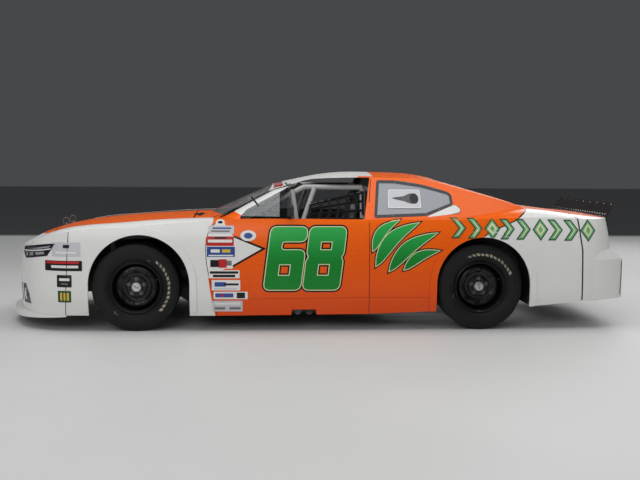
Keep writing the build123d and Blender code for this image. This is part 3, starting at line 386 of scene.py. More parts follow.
nodeFinish = {
    "nosePaint": "nose_cover",
    "whiteTop": "splitter window_ducts",
    "whiteFlank": "fender_left fender_right",
    "doorOrange": "door_left door_right",
    "quarterPaint": "quarter_left quarter_right sail_panel_left sail_panel_right",
    "bumperPaint": "bumper_rear",
    "orangeTop": "hood cowl_panel tulip_panel deck_lid",
    "smokedPlastic": "spoiler",
    "roofPaint": "roof_panel",
    "blackTrim": "grille side_mirror steering_wheel fuel_cell wheel_houses",
    "clearPane": "windshield rear_window vent_panes",
    "greyPane": "quarter_windows",
    "framePaint": "front_arms frame_rails dash_panel rear_suspension",
    "steel": "front_springs steering_rack steering_column",
    "iron": "knuckle_left knuckle_right exhaust_pipes engine_block driveline rear_axle radiator",
    "alloy": "rack_housing seat",
    "cagePaint": "roll_cage door_bars_left door_bars_right",
    "sheetMetal": "floor_pan",
    "webbing": "window_net",
    "tyreRubber": "tyre_fl tyre_fr tyre_rl tyre_rr",
    "wheelBlack": "rim_fl rim_fr rim_rl rim_rr",
}
for finish, names in nodeFinish.items():
    for name in names.split():
        materials = nodes[name].data.materials
        materials.clear()
        materials.append(finishes[finish])
print("finishes on the nodes")


# studio: pale floor and backdrop, a wide soft lamp overhead and two soft side lamps
studio = {"floorSize": 90.0, "floor": rgb(0.6, 0.6, 0.59), "world": rgb(0.4, 0.405, 0.415),
          "wall": rgb(0.062, 0.064, 0.066), "darkFrom": 9.0}


def makeStudio(look):
    floor = bpy.data.meshes.new("studioFloor")
    half = look["floorSize"] / 2
    floor.from_pydata([(-half, -half, 0), (half, -half, 0), (half, half, 0), (-half, half, 0)], [],
                      [(0, 1, 2, 3)])
    ground = bpy.data.objects.new("studioFloor", floor)
    scene.collection.objects.link(ground)
    material, tree, shader = newMaterial("studioFloor", Roughness=0.55)
    place = objectPlace(tree)
    cloud = noise(tree, place, 0.6, 4.0)
    tint = ramp(tree, cloud, 0.3, 0.7)
    pale = mixColour(tree, tint, look["floor"], rgb(0.63, 0.63, 0.62))
    depth = axisOf(tree, place, "Y")
    far = ramp(tree, depth, look["darkFrom"], look["darkFrom"] + 0.5)
    tree.links.new(mixColour(tree, far, pale, rgb(0.075, 0.077, 0.08)), shader.inputs["Base Color"])
    floor.materials.append(material)
    world = bpy.data.worlds.new("studioWorld")
    world.use_nodes = True
    tree = world.node_tree
    background = tree.nodes["Background"]
    rays = addNode(tree, "LightPath").outputs
    seen = calc(tree, "MAXIMUM", rays["Is Camera Ray"], rays["Is Glossy Ray"])
    seen = calc(tree, "MAXIMUM", seen, rays["Is Transmission Ray"])
    tree.links.new(mixColour(tree, seen, look["world"], look["wall"]), background.inputs["Color"])
    background.inputs["Strength"].default_value = 1.0
    scene.world = world
    lamps = [("overheadLamp", (0, -1.2, 6.5), (0, 0, 0), (11.0, 5.0), 310.0),
             ("frontLamp", (-3.5, -9.5, 4.6), (radians(66), 0, radians(-18)), (6.0, 3.0), 215.0),
             ("rearLamp", (5.5, 6.5, 4.5), (radians(-58), 0, radians(-38)), (6.0, 3.0), 165.0)]
    for name, spot, turn, size, power in lamps:
        lamp = bpy.data.lights.new(name, "AREA")
        lamp.shape = "RECTANGLE"
        lamp.size, lamp.size_y = size
        lamp.energy = power
        holder = bpy.data.objects.new(name, lamp)
        holder.location, holder.rotation_euler = spot, turn
        scene.collection.objects.link(holder)


makeStudio(studio)


# mesh helpers
def placePiece(name, bm, materials, body):
    mesh = bpy.data.meshes.new(name)
    bm.to_mesh(mesh)
    bm.free()
    for material in materials:
        mesh.materials.append(finishes[material])
    piece = bpy.data.objects.new(name, mesh)
    scene.collection.objects.link(piece)
    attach(piece, body)
    return piece


def makePiece(name, bm, materials, body, smooth=True):
    bmesh.ops.recalc_face_normals(bm, faces=bm.faces)
    for face in bm.faces:
        face.smooth = smooth
    piece = placePiece(name, bm, materials, body)
    if smooth:
        piece.data.set_sharp_from_angle(angle=radians(38))
    return piece


# faces between neighbouring rings of vertices, with end caps if asked for
def bridge(bm, rings, material=0, caps=False):
    for inner, outer in zip(rings, rings[1:]):
        for k in range(len(inner)):
            after = (k + 1) % len(inner)
            bm.faces.new((inner[k], inner[after], outer[after], outer[k])).material_index = material
    if caps:
        for ring in (rings[0], rings[-1]):
            bm.faces.new(ring).material_index = material


# direction of a line at each of its points
def headings(points):
    last = len(points) - 1
    return [(points[min(k + 1, last)] - points[max(k - 1, 0)]).normalized() for k in range(last + 1)]


# profile of (radius, outward) pairs turned about the Y axis at a wheel's middle
def addLathe(bm, profile, middle, outward, steps=96, material=0, closed=False):
    rings = []
    for radius, along in profile:
        rings.append([bm.verts.new(middle + Vector((radius * cos(2 * pi * k / steps), outward * along,
                                                    radius * sin(2 * pi * k / steps))))
                      for k in range(steps)])
    bridge(bm, rings + rings[:1] if closed else rings, material)


def addDisc(bm, centre, radius, normal, depth, steps=6, material=0, taper=1.0):
    turn = normal.to_track_quat("Z", "Y").to_matrix()
    made = bmesh.ops.create_cone(bm, cap_ends=True, segments=steps, radius1=radius,
                                 radius2=radius * taper, depth=depth)
    for vert in made["verts"]:
        vert.co = centre + turn @ vert.co
    for face in {face for vert in made["verts"] for face in vert.link_faces}:
        face.material_index = material


def addBox(bm, low, high, material=0):
    made = bmesh.ops.create_cube(bm, size=1.0)
    for vert in made["verts"]:
        vert.co = Vector([a + (b - a) * (part + 0.5) for a, b, part in zip(low, high, vert.co)])
    for face in {face for vert in made["verts"] for face in vert.link_faces}:
        face.material_index = material
    return made["verts"]


# tube along a list of points, with parallel rings
def addTube(bm, path, radius, steps=12, material=0):
    points = [Vector(point) for point in path]
    side = None
    rings = []
    for point, ahead in zip(points, headings(points)):
        if side is None:
            side = ahead.orthogonal().normalized()
        side = (side - ahead * side.dot(ahead)).normalized()
        across = ahead.cross(side)
        rings.append([bm.verts.new(point + radius * (side * cos(2 * pi * k / steps)
                                                     + across * sin(2 * pi * k / steps)))
                      for k in range(steps)])
    bridge(bm, rings, material, True)


def nodeTree(names):
    verts, faces = [], []
    for name in names:
        mesh = nodes[name].data
        start = len(verts)
        verts += [vert.co.copy() for vert in mesh.vertices]
        faces += [tuple(start + index for index in face.vertices) for face in mesh.polygons]
    return BVHTree.FromPolygons(verts, faces)


# surfaces that stickers and seams are laid on
flankNames = ("nose_cover splitter fender_{0} door_{0} quarter_{0} bumper_rear sail_panel_{0} roof_panel "
              "quarter_windows windshield vent_panes")
surfaces = {side: nodeTree(flankNames.format(side.lower()).split()) for side in sides}
surfaces.update({
    "Top": nodeTree(["nose_cover", "hood", "cowl_panel", "tulip_panel", "deck_lid", "roof_panel",
                     "windshield", "rear_window", "fender_left", "fender_right", "quarter_left",
                     "quarter_right", "bumper_rear"]),
    "Front": nodeTree(["nose_cover", "splitter", "grille"]),
    "Back": nodeTree(["bumper_rear"]),
})


# flat (across, up) to a point in front of the surface and the way towards it
def aim(view, a, b):
    if view in sides:
        return Vector((a, sides[view] * 1.5, b)), Vector((0, -sides[view], 0))
    if view == "Top":
        return Vector((a, b, 2.0)), Vector((0, 0, -1))
    if view == "Front":
        return Vector((-3.2, a, b)), Vector((1, 0, 0))
    return Vector((3.2, a, b)), Vector((-1, 0, 0))


def rounded(corners, radius, steps=5):
    points = []
    count = len(corners)
    for k in range(count):
        here = Vector(corners[k])
        back, ahead = Vector(corners[k - 1]) - here, Vector(corners[(k + 1) % count]) - here
        reach = min(radius, back.length * 0.45, ahead.length * 0.45)
        start, end = here + back.normalized() * reach, here + ahead.normalized() * reach
        for step in range(steps + 1):
            t = step / steps
            points.append(tuple(start * (1 - t) ** 2 + here * 2 * t * (1 - t) + end * t * t))
    return points


# moves an outline sideways: grown to the right of its direction
def offsetOutline(points, grow):
    moved = []
    count = len(points)
    for k in range(count):
        here = Vector(points[k])
        inward, onward = here - Vector(points[k - 1]), Vector(points[(k + 1) % count]) - here
        if inward.length < 1e-7 or onward.length < 1e-7:
            moved.append(tuple(here))
            continue
        first, second = inward.normalized(), onward.normalized()
        mitre = Vector((first.y + second.y, -first.x - second.x))
        if mitre.length < 1e-6:
            moved.append(tuple(here))
            continue
        mitre.normalize()
        reach = grow / max(0.4, mitre.dot(Vector((first.y, -first.x))))
        moved.append(tuple(here + mitre * reach))
    return moved


def ribbonOutline(points, width):
    line = [Vector(point) for point in points]
    left, right = [], []
    for here, ahead in zip(line, headings(line)):
        across = Vector((-ahead.y, ahead.x)) * width / 2
        left.append(tuple(here + across))
        right.append(tuple(here - across))
    return left + right[::-1]


# a ray that runs deeper than this has slipped through a seam: then it is cast again just beside
deepest = 1.45
besides = [(0, 0), (0, 0.002), (0, -0.002), (0.002, 0), (-0.002, 0)]


# lays filled outlines on a surface: each layer is (loops, material number, lift)
def layOn(bm, view, loops, material, lift, grid=0.04):
    flat = [Vector((a, b, 0)) for loop in loops for a, b in loop]
    made = bmesh.new()
    verts = [made.verts.new(point) for point in flat]
    for triangle in tessellate_polygon([[Vector((a, b, 0)) for a, b in loop] for loop in loops]):
        if len(set(triangle)) == 3:
            try:
                made.faces.new([verts[index] for index in triangle])
            except ValueError:
                pass
    for axis in (0, 1):
        low = min(point[axis] for point in flat)
        high = max(point[axis] for point in flat)
        line = (int(low / grid) - 1) * grid
        normal = Vector((1, 0, 0)) if axis == 0 else Vector((0, 1, 0))
        while line < high:
            if line > low:
                bmesh.ops.bisect_plane(made, geom=made.verts[:] + made.edges[:] + made.faces[:],
                                       plane_co=normal * line, plane_no=normal)
            line += grid
    tree = surfaces[view]
    placed = []
    for vert in made.verts:
        for across, up in besides:
            start, ahead = aim(view, vert.co.x + across, vert.co.y + up)
            spot, normal, _, _ = tree.ray_cast(start, ahead)
            if spot is not None and (spot - start).length < deepest:
                break
        else:
            spot, normal, _, _ = tree.find_nearest(start + ahead * 0.55)
        if normal.dot(ahead) > 0:
            normal = -normal
        placed.append(bm.verts.new(spot + normal * lift))
    made.verts.index_update()
    for face in made.faces:
        corners = [placed[vert.index] for vert in face.verts]
        edge = (corners[1].co - corners[0].co).cross(corners[2].co - corners[0].co)
        if edge.dot(aim(view, 0, 0)[1]) > 0:
            corners.reverse()
        bm.faces.new(corners).material_index = material
    made.free()


def decalPiece(name, layers, materials, body, grid=0.04):
    bm = bmesh.new()
    for view, loops, material, lift in layers:
        layOn(bm, view, loops, material, lift, grid)
    for face in bm.faces:
        face.smooth = True
    return placePiece(name, bm, materials, body)


def oval(x, z, wide, high, count):
    return [(x + wide * cos(2 * pi * k / count), z + high * sin(2 * pi * k / count)) for k in range(count)]


# an outline in steps of growth, one colour under the next
def stepped(view, loops, steps):
    return [(view, [offsetOutline(loop, grow) for loop in loops], material, lift)
            for material, grow, lift in steps]


def fadeBetween(low, high, bottom, top):
    return lambda tree, x, z: mixColour(tree, ramp(tree, z, bottom, top), low, high)


vinyls = {
    "inkVinyl": ink, "creamVinyl": cream, "whiteVinyl": white, "paleVinyl": rgb(0.55, 0.55, 0.58),
    "redVinyl": rgb(0.5, 0.02, 0.02), "blueVinyl": rgb(0.03, 0.07, 0.28), "goldVinyl": rgb(0.62, 0.44, 0.05),
    "darkGreenVinyl": rgb(0.02, 0.07, 0.035), "greyVinyl": rgb(0.16, 0.16, 0.165),
    # the dark orange crease colour is painted shade along the door's lower crease
    "rimVinyl": rgb(0.05, 0.052, 0.056), "paintedCreaseShade": rgb(0.36, 0.034, 0.001),
    "mintVinyl": rgb(0.16, 0.44, 0.2),
}
for name, colour in vinyls.items():
    paintMaterial(name, plainColour(colour), dust=0.2, rough=0.45 if name == "rimVinyl" else 0.26)
paintMaterial("numberGreen", fadeBetween(green, greenLight, 0.55, 0.85), dust=0.15)


# race number: plain block digits, outline points per digit in widths and heights
digits = {"width": 0.288, "height": 0.494, "slant": 0.062, "stroke": 0.098, "bar": 0.112, "corner": 0.05,
          "low": 0.332, "starts": (-0.436, -0.128), "text": "68"}


def digitLoops(which, spec):
    w, h, t, bar = spec["width"], spec["height"], spec["stroke"], spec["bar"]
    middle = h / 2 + 0.012
    if which == "8":
        outer = rounded([(0, 0), (w, 0), (w, middle - 0.03), (w - 0.018, middle), (w, middle + 0.03),
                         (w, h), (0, h), (0, middle + 0.03), (0.018, middle), (0, middle - 0.03)],
                        spec["corner"])
        holes = [[(t, bar), (t, middle - 0.055), (w - t, middle - 0.055), (w - t, bar)],
                 [(t, middle + 0.055), (t, h - bar), (w - t, h - bar), (w - t, middle + 0.055)]]
    else:
        shelf = middle + 0.055
        outer = rounded([(0, 0), (w, 0), (w, shelf), (t, shelf), (t, h - bar), (w, h - bar),
                         (w, h), (0, h)], spec["corner"])
        holes = [[(t, bar), (t, shelf - bar), (w - t, shelf - bar), (w - t, bar)]]
    slant = spec["slant"] / h
    return [[(a + b * slant, b) for a, b in loop] for loop in [outer] + holes]


def numberLayers(view, spec, toPlace):
    layers = []
    for which, start in zip(spec["text"], spec["starts"]):
        steps = ((0, 0.019, 0.0009), (1, 0.0068, 0.0013), (2, 0.0, 0.0017))
        for _, grown, material, lift in stepped(view, digitLoops(which, spec), steps):
            layers.append((view, [[toPlace(start + a, b) for a, b in loop] for loop in grown],
                           material, lift))
    return layers


numberMiddle = (digits["starts"][0] + digits["starts"][1] + digits["width"] + digits["slant"]) / 2
for side, sign in sides.items():
    def toFlank(a, b, sign=sign):
        return (a if sign < 0 else 2 * numberMiddle - a, b + digits["low"])
    decalPiece("number" + side, numberLayers(side, digits, toFlank),
               ["inkVinyl", "creamVinyl", "numberGreen"], "chassis")
print("numbers laid")


# white field on the front of the door, its arrow tip edged in black
doorSeam = [(-0.801, 0.868), (-0.862, 0.8), (-0.885, 0.73), (-0.89, 0.64), (-0.882, 0.54), (-0.866, 0.45),
            (-0.838, 0.33), (-0.819, 0.24), (-0.803, 0.125)]
arrow = {"tip": (-0.452, 0.656), "top": (-0.665, 0.742), "low": (-0.69, 0.52),
         "edge": [(-0.72, 0.6), (-0.69, 0.52), (-0.682, 0.506), (-0.4155, 0.6585), (-0.659, 0.757),
                  (-0.7, 0.74)]}
field = [(-0.801, 0.866), (-0.742, 0.852), (-0.7, 0.79), arrow["top"], arrow["tip"], arrow["low"],
         (-0.75, 0.492), (-0.868, 0.47)] + doorSeam[4:0:-1]
# stickers beside the arrow: left, right, low, high, ground colour, then bars in shares of the sticker
stickerInks = ["whiteVinyl", "inkVinyl", "redVinyl", "blueVinyl", "paleVinyl", "greyVinyl", "goldVinyl",
               "darkGreenVinyl"]
stickers = [
    (-0.868, -0.668, 0.772, 0.836, 4, [(0.16, 0.9, 0.58, 0.78, 3), (0.1, 0.84, 0.22, 0.42, 5)]),
    (-0.884, -0.668, 0.678, 0.752, 2, [(0.06, 0.94, 0.36, 0.66, 0), (0.28, 0.72, 0.76, 0.94, 1)]),
    (-0.88, -0.66, 0.592, 0.672, 3, [(0.06, 0.94, 0.08, 0.2, 0), (0.14, 0.46, 0.42, 0.74, 0),
                                     (0.54, 0.84, 0.42, 0.74, 6)]),
    (-0.862, -0.676, 0.5, 0.58, 0, [(0.05, 0.42, 0.15, 0.85, 1), (0.4, 0.74, 0.08, 0.92, 2),
                                    (0.72, 0.95, 0.3, 0.8, 5)]),
    (-0.866, -0.624, 0.424, 0.488, 0, [(0.04, 0.96, 0.56, 0.86, 1), (0.14, 0.86, 0.12, 0.44, 1)]),
    (-0.842, -0.618, 0.328, 0.41, 0, [(0.1, 0.5, 0.36, 0.8, 3), (0.42, 0.94, 0.48, 0.68, 1),
                                      (0.08, 0.88, 0.1, 0.24, 4)]),
    (-0.828, -0.56, 0.258, 0.318, 0, [(0.05, 0.58, 0.24, 0.78, 3), (0.2, 0.32, 0.36, 0.66, 2),
                                      (0.68, 0.92, 0.12, 0.88, 1)]),
    (-0.836, -0.6, 0.158, 0.246, 4, [(0.08, 0.92, 0.62, 0.84, 0), (0.06, 0.42, 0.18, 0.4, 5),
                                     (0.56, 0.94, 0.18, 0.4, 5)]),
    (-2.15, -1.85, 0.478, 0.558, 1, [(0.04, 0.92, 0.7, 0.94, 2), (0.18, 0.9, 0.28, 0.54, 0)]),
    (-2.05, -1.932, 0.35, 0.446, 1, [(0.16, 0.86, 0.52, 0.74, 0), (0.28, 0.76, 0.22, 0.34, 5)]),
    (-2.044, -1.938, 0.23, 0.322, 7, [(0.18, 0.34, 0.16, 0.84, 6), (0.44, 0.58, 0.16, 0.84, 6),
                                      (0.68, 0.84, 0.16, 0.84, 6)]),
    (-2.09, -1.862, 0.59, 0.7, 4, [(0.4, 0.62, 0.6, 0.84, 1), (0.14, 0.86, 0.22, 0.36, 0)]),
]


def rectangle(a0, a1, b0, b1, corner=0.006):
    return rounded([(a0, b0), (a1, b0), (a1, b1), (a0, b1)], corner, 3)


for side in sides:
    layers = [(side, [arrow["edge"]], 1, 0.0007), (side, [field], 0, 0.0011)]
    for a0, a1, b0, b1, ground, bars in stickers:
        layers.append((side, [rectangle(a0, a1, b0, b1)], ground, 0.0014))
        for u0, u1, v0, v1, colour in bars:
            layers.append((side, [rectangle(a0 + u0 * (a1 - a0), a0 + u1 * (a1 - a0), b0 + v0 * (b1 - b0),
                                            b0 + v1 * (b1 - b0), 0.004)], colour, 0.0018))
    for x, z, width, height, colours in ((-0.775, 0.862, 0.036, 0.02, (0, 1)),
                                         (-0.556, 0.758, 0.062, 0.042, (0, 3))):
        for share, colour, lift in ((1.0, colours[0], 0.0015), (0.55, colours[1], 0.0019)):
            layers.append((side, [oval(x, z, share * width, share * height, 24)], colour, lift))
    decalPiece("stickers" + side, layers, stickerInks, "chassis", grid=0.02)
print("stickers laid")


# generic green leaves behind the door, and a row of chevrons and lozenges to the tail
leaves = [  # root x and z, tip x and z, width, bend
    (0.455, 0.52, 0.8, 0.86, 0.105, 0.06), (0.56, 0.478, 0.945, 0.78, 0.1, 0.05),
    (0.43, 0.64, 0.64, 0.88, 0.075, 0.045), (0.68, 0.49, 0.96, 0.64, 0.075, 0.035),
]
row = {"start": 1.075, "end": 2.262, "low": 0.748, "high": 0.89, "fall": 0.004, "count": 9, "stroke": 0.04}


def leafOutline(x0, z0, x1, z1, width, bend):
    root, tip = Vector((x0, z0)), Vector((x1, z1))
    ahead = tip - root
    across = Vector((-ahead.y, ahead.x)).normalized()
    upper, lower = [], []
    for k in range(13):
        t = k / 12
        middle = root + ahead * t + across * bend * sin(pi * t)
        half = width / 2 * sin(pi * t ** 0.8) ** 0.9 if 0 < k < 12 else 0
        upper.append(tuple(middle + across * half))
        if 0 < k < 12:
            lower.append(tuple(middle - across * half))
    return (upper + lower[::-1])[::-1]


def rowOutlines(spec):
    shapes = []
    pitch = (spec["end"] - spec["start"]) / spec["count"]
    for k in range(spec["count"]):
        left = spec["start"] + k * pitch
        low, high = spec["low"] - 0.003 * k, spec["high"] - 0.002 * k
        middle, right = (low + high) / 2, left + pitch * 0.82
        t = spec["stroke"]
        if k % 3 == 2:
            outer = [(left, middle), ((left + right) / 2, low), (right, middle), ((left + right) / 2, high)]
            inner = [(left + t * 1.2, middle), ((left + right) / 2, high - t * 1.6),
                     (right - t * 1.2, middle), ((left + right) / 2, low + t * 1.6)]
            shapes.append([outer, inner])
        else:
            point = left + pitch * 0.42
            shapes.append([[(left, low), (left + t, low), (point + t, middle), (left + t, high),
                            (left, high), (point, middle)]])
    return shapes


for side in sides:
    layers = []
    for leaf in leaves:
        layers += stepped(side, [leafOutline(*leaf)],
                          ((0, 0.015, 0.0009), (1, 0.006, 0.0013), (2, 0.0, 0.0017)))
    for loops in rowOutlines(row):
        layers += stepped(side, loops, ((3, 0.009, 0.0024), (4, 0.0, 0.003), (1, -0.012, 0.0036)))
    decalPiece("motifs" + side, layers,
               ["inkVinyl", "creamVinyl", "numberGreen", "darkGreenVinyl", "mintVinyl"], "chassis",
               grid=0.012)
print("motifs laid")


# joints between panels, the black tail line and other dark lines: points and width
lines = [
    (doorSeam, 0.005), ([(-1.957, 0.8), (-1.988, 0.125)], 0.005), ([(0.4025, 0.868), (0.4025, 0.136)], 0.004),
    ([(2.0725, 0.928), (2.104, 0.886), (2.124, 0.723), (2.137, 0.64), (2.14, 0.236)], 0.011),
    (tailLine["points"][1:-1], 0.008), ([(0.446, 1.2), (0.418, 1.165)], 0.006),
]
patch = [(0.885, 0.903), (1.04, 0.919), (1.091, 0.926), (1.14, 0.936), (1.157, 0.948), (1.158, 0.966),
         (1.133, 0.99), (1.1, 0.994), (0.89, 0.912)]
# darker orange line along the door's lower crease: painted shade in the crease
creaseShadeLine = [(-0.84, 0.257), (-0.2, 0.262), (0.4, 0.27), (0.9, 0.268)]
for side in sides:
    layers = [(side, [ribbonOutline(points, width)], 0, 0.0012) for points, width in lines]
    # black strip along the right edge of the white patch: painted shadow of the patch
    layers += [(side, [ribbonOutline(patch[2:7], 0.009)], 0, 0.0008), (side, [patch], 1, 0.0012),
               (side, [ribbonOutline(creaseShadeLine, 0.0025)], 2, 0.001)]
    decalPiece("lines" + side, layers, ["inkVinyl", "whiteVinyl", "paintedCreaseShade"], "chassis", grid=0.03)
print("lines laid")


# wheels: a slick tyre with ribbed walls on a dished steel rim with oval slots
wheel = {"steps": 96, "slots": 8, "slotRadius": 0.1305, "slotHigh": 0.0145, "slotWide": 0.0235,
         "slotFrom": 0.11, "slotTo": 0.15, "slotDepth": 0.01, "nuts": 5, "nutCircle": 0.0635,
         "nutRadius": 0.0125, "nutHeight": 0.021, "cap": 0.0655}
tyreWall = [(0.1935, 0.119), (0.2075, 0.121), (0.211, 0.1245), (0.214, 0.1272), (0.2165, 0.1262),
            (0.22, 0.1312), (0.228, 0.1375), (0.234, 0.1412), (0.2362, 0.1404), (0.2388, 0.143),
            (0.25, 0.147), (0.264, 0.1493), (0.276, 0.15), (0.288, 0.1492), (0.296, 0.1478),
            (0.2985, 0.1464), (0.3008, 0.1468), (0.31, 0.144), (0.319, 0.1402), (0.3238, 0.1378),
            (0.3262, 0.136), (0.3335, 0.133), (0.3395, 0.1288), (0.3428, 0.1235), (0.3443, 0.115)]
rimBarrel = [(0.19, 0.118), (0.199, 0.1195), (0.204, 0.1213), (0.205, 0.1255), (0.2044, 0.13),
             (0.202, 0.131), (0.199, 0.1288), (0.1972, 0.124), (0.195, 0.119), (0.1916, 0.1178),
             (0.1902, 0.112), (0.188, 0.1095), (0.1866, 0.102), (0.1846, 0.0995), (0.1834, 0.08),
             (0.1828, 0.056), (0.18, 0.042), (0.179, 0.033), (0.159, 0.004), (0.159, -0.064),
             (0.179, -0.081), (0.183, -0.117), (0.198, -0.124), (0.198, -0.1305), (0.205, -0.131),
             (0.205, -0.1245), (0.19, -0.117), (0.19, -0.079), (0.166, -0.062), (0.166, 0.005),
             (0.19, 0.04)]
rimDisc = [(0.1796, 0.044), (0.174, 0.0505), (0.164, 0.06), (0.157, 0.0655), (0.15, 0.0672)]
rimHeart = [(0.11, 0.056), (0.104, 0.055), (0.086, 0.055), (0.081, 0.059), (0.078, 0.0645),
            (0.0745, 0.0658), (0.048, 0.0655), (0.04, 0.064)]
discHeights = rimDisc[-1:] + [(0.142, 0.0688), (0.13, 0.0684), (0.12, 0.0622)] + rimHeart[:1]
capSkin = [(0.04, 0.064), (0.04, 0.079), (0.0392, 0.085), (0.0372, 0.089), (0.0364, 0.0878), (0.035, 0.088),
           (0.032, 0.0925), (0.018, 0.0946), (0.0004, 0.095)]
# discs of a nut: share of its radius, place, depth, taper and number of sides; then the valve stem
nutParts = ((1.35, 0.0665, 0.003, 1.0, 20), (1.0, 0.0755, 0.018, 1.0, 6), (1.0, 0.0855, 0.003, 0.72, 6),
            (0.5, 0.0885, 0.005, 0.8, 12))
valve = ((0.18, 0.062), (0.173, 0.08), (0.169, 0.098))
# pale marks on the tyre wall: start and end angle in degrees, inner and outer radius, slant in degrees
wallMarks = {
    "front": [(52 - 8.2 * k, 46.6 - 8.2 * k, 0.253, 0.2705 + 0.002 * (k % 3), 1.2) for k in range(12)]
    + [(66.5, 62.0, 0.236, 0.24, 2.0), (-124, -128, 0.25, 0.254, 3.0), (-129.5, -131, 0.244, 0.258, 1.0)],
    "rear": [(113 - 7.7 * k, 107.9 - 7.7 * k, 0.253, 0.2705 + 0.002 * (k % 3), 1.2) for k in range(12)]
    + [(-160, -161.6, 0.226, 0.24, 2.5), (-162.6, -165.4, 0.226, 0.229, 0.0)],
}
coatedMaterial("wallCream", rgb(0.36, 0.32, 0.24), rgb(0.05, 0.048, 0.045), 0.85,
               150.0, 0.6, 0.2)
metalMaterial("brushedCap", rgb(0.66, 0.66, 0.64), rgb(0.3, 0.29, 0.27), 0.3, 0.36)
metalMaterial("wheelNut", rgb(0.19, 0.185, 0.18), rgb(0.07, 0.06, 0.05), 0.5, 0.42)
coatedMaterial("goldMark", rgb(0.42, 0.31, 0.09), rgb(0.1, 0.08, 0.03), 0.4, 150.0, 0.45)


def heightAt(profile, radius):
    for (r0, h0), (r1, h1) in zip(profile, profile[1:]):
        if min(r0, r1) <= radius <= max(r0, r1):
            return h0 + (h1 - h0) * (radius - r0) / (r1 - r0)
    return profile[0][1] if radius > profile[0][0] else profile[-1][1]


def onWheel(middle, outward, radius, angle, along):
    return middle + Vector((radius * cos(angle), outward * along, radius * sin(angle)))


# ring of the disc between its slots: each sector is a frame round an oval hole with a turned-in edge
def addSlots(bm, middle, outward, spec, profile, material=0):
    half = pi / spec["slots"]
    arc, side = spec["steps"] // spec["slots"], 4
    low, high = spec["slotFrom"], spec["slotTo"]
    for number in range(spec["slots"]):
        centre = 2 * half * number
        edge = [(high, -half + 2 * half * k / arc) for k in range(arc)]
        edge += [(high + (low - high) * k / side, half) for k in range(side)]
        edge += [(low, half - 2 * half * k / arc) for k in range(arc)]
        edge += [(low + (high - low) * k / side, -half) for k in range(side)]
        rings = [[] for _ in range(5)]
        for radius, turn in edge:
            away, round_ = radius - spec["slotRadius"], turn * spec["slotRadius"]
            angle = atan2(away / spec["slotHigh"], round_ / spec["slotWide"])
            oval = (spec["slotRadius"] + spec["slotHigh"] * sin(angle),
                    spec["slotWide"] * cos(angle) / spec["slotRadius"])
            for ring, share in zip(rings, (0.0, 0.5, 0.86, 1.0)):
                r, t = radius + (oval[0] - radius) * share, turn + (oval[1] - turn) * share
                lip = 0.0018 if share == 0.86 else 0.0
                ring.append(bm.verts.new(onWheel(middle, outward, r, centre + t,
                                                 heightAt(profile, r) + lip)))
            rings[4].append(bm.verts.new(onWheel(middle, outward, oval[0], centre + oval[1],
                                                 heightAt(profile, oval[0]) - spec["slotDepth"])))
        bridge(bm, rings, material)


# strip between two radii over part of a turn, lifted off the surface that the profile gives
def addArcMark(bm, middle, outward, start, end, inner, outer, slant, profile, lift, material):
    count = max(2, int(abs(end - start) / 1.5) + 1)
    rows = []
    for k in range(count + 1):
        row = []
        for step in range(3):
            radius = inner + (outer - inner) * step / 2
            angle = radians(start + (end - start) * k / count + slant * (step - 1))
            row.append(bm.verts.new(onWheel(middle, outward, radius, angle,
                                            heightAt(profile, radius) + lift)))
        rows.append(row)
    for first, second in zip(rows, rows[1:]):
        for k in range(2):
            bm.faces.new((first[k], first[k + 1], second[k + 1], second[k])).material_index = material


def makeWheel(body, outward, spec):
    corner = body[-2:]
    low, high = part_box("tyre_" + corner)
    middle = (Vector(low) + Vector(high)) / 2
    marks = wallMarks["front" if corner[0] == "f" else "rear"]
    bm = bmesh.new()
    wall = [(0.1904, 0.0)] + tyreWall + [(0.3445, 0.098), (0.3445, 0.05), (0.3445, 0.0)]
    back = [(radius, -along) for radius, along in wall[::-1]]
    addLathe(bm, wall + back[1:-1], middle, outward, spec["steps"], 0, True)
    for start, end, inner, outer, slant in marks:
        addArcMark(bm, middle, outward, start, end, inner, outer, slant, tyreWall, 0.0009, 1)
    piece = makePiece("slickTyre_" + corner, bm, ["tyreRubber", "wallCream"], body)
    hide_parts("tyre_" + corner)
    bm = bmesh.new()
    addLathe(bm, rimBarrel, middle, outward, spec["steps"], 0, True)
    addLathe(bm, rimDisc, middle, outward, spec["steps"])
    addSlots(bm, middle, outward, spec, discHeights)
    addLathe(bm, rimHeart, middle, outward, spec["steps"])
    addLathe(bm, [(0.1796, 0.036), (0.15, 0.056), (0.11, 0.045), (0.044, 0.045), (0.044, -0.025),
                  (0.0265, -0.025), (0.0265, 0.06)], middle, outward, 48)
    bmesh.ops.remove_doubles(bm, verts=bm.verts[:], dist=0.00002)
    addLathe(bm, capSkin, middle, outward, 48, 1)
    upward = 1 if corner[0] == "f" else -1
    addArcMark(bm, middle, outward, 97 * upward, 84 * upward, 0.1868, 0.195, 0,
               [(0.1972, 0.124), (0.1866, 0.102)], 0.001, 3)
    for k in range(spec["nuts"]):
        angle = pi / 2 + 2 * pi * k / spec["nuts"]
        for radius, along, depth, taper, steps in nutParts:
            addDisc(bm, onWheel(middle, outward, spec["nutCircle"], angle, along),
                    spec["nutRadius"] * radius, Vector((0, outward, 0)), depth, steps, 2, taper)
    stem = [onWheel(middle, outward, radius, radians(20), along) for radius, along in valve]
    addTube(bm, stem, 0.0042, 10, 2)
    for start in (-0.019, 0.004):
        low = middle + Vector((start, outward * 0.0944, -0.0035))
        verts = addBox(bm, low, low + Vector((0.015, outward * 0.0014, 0.007)), 4)
        turn = Matrix.Rotation(radians(28 if corner[0] == "f" else 75), 3, "Y")
        for vert in verts:
            vert.co = middle + turn @ (vert.co - middle)
    piece = makePiece("steelWheel_" + corner, bm,
                      ["wheelBlack", "brushedCap", "wheelNut", "goldMark", "blackTrim"], body)
    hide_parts("rim_" + corner)


for body, outward in wheelBodies.items():
    makeWheel(body, outward, wheel)
print("wheels made")


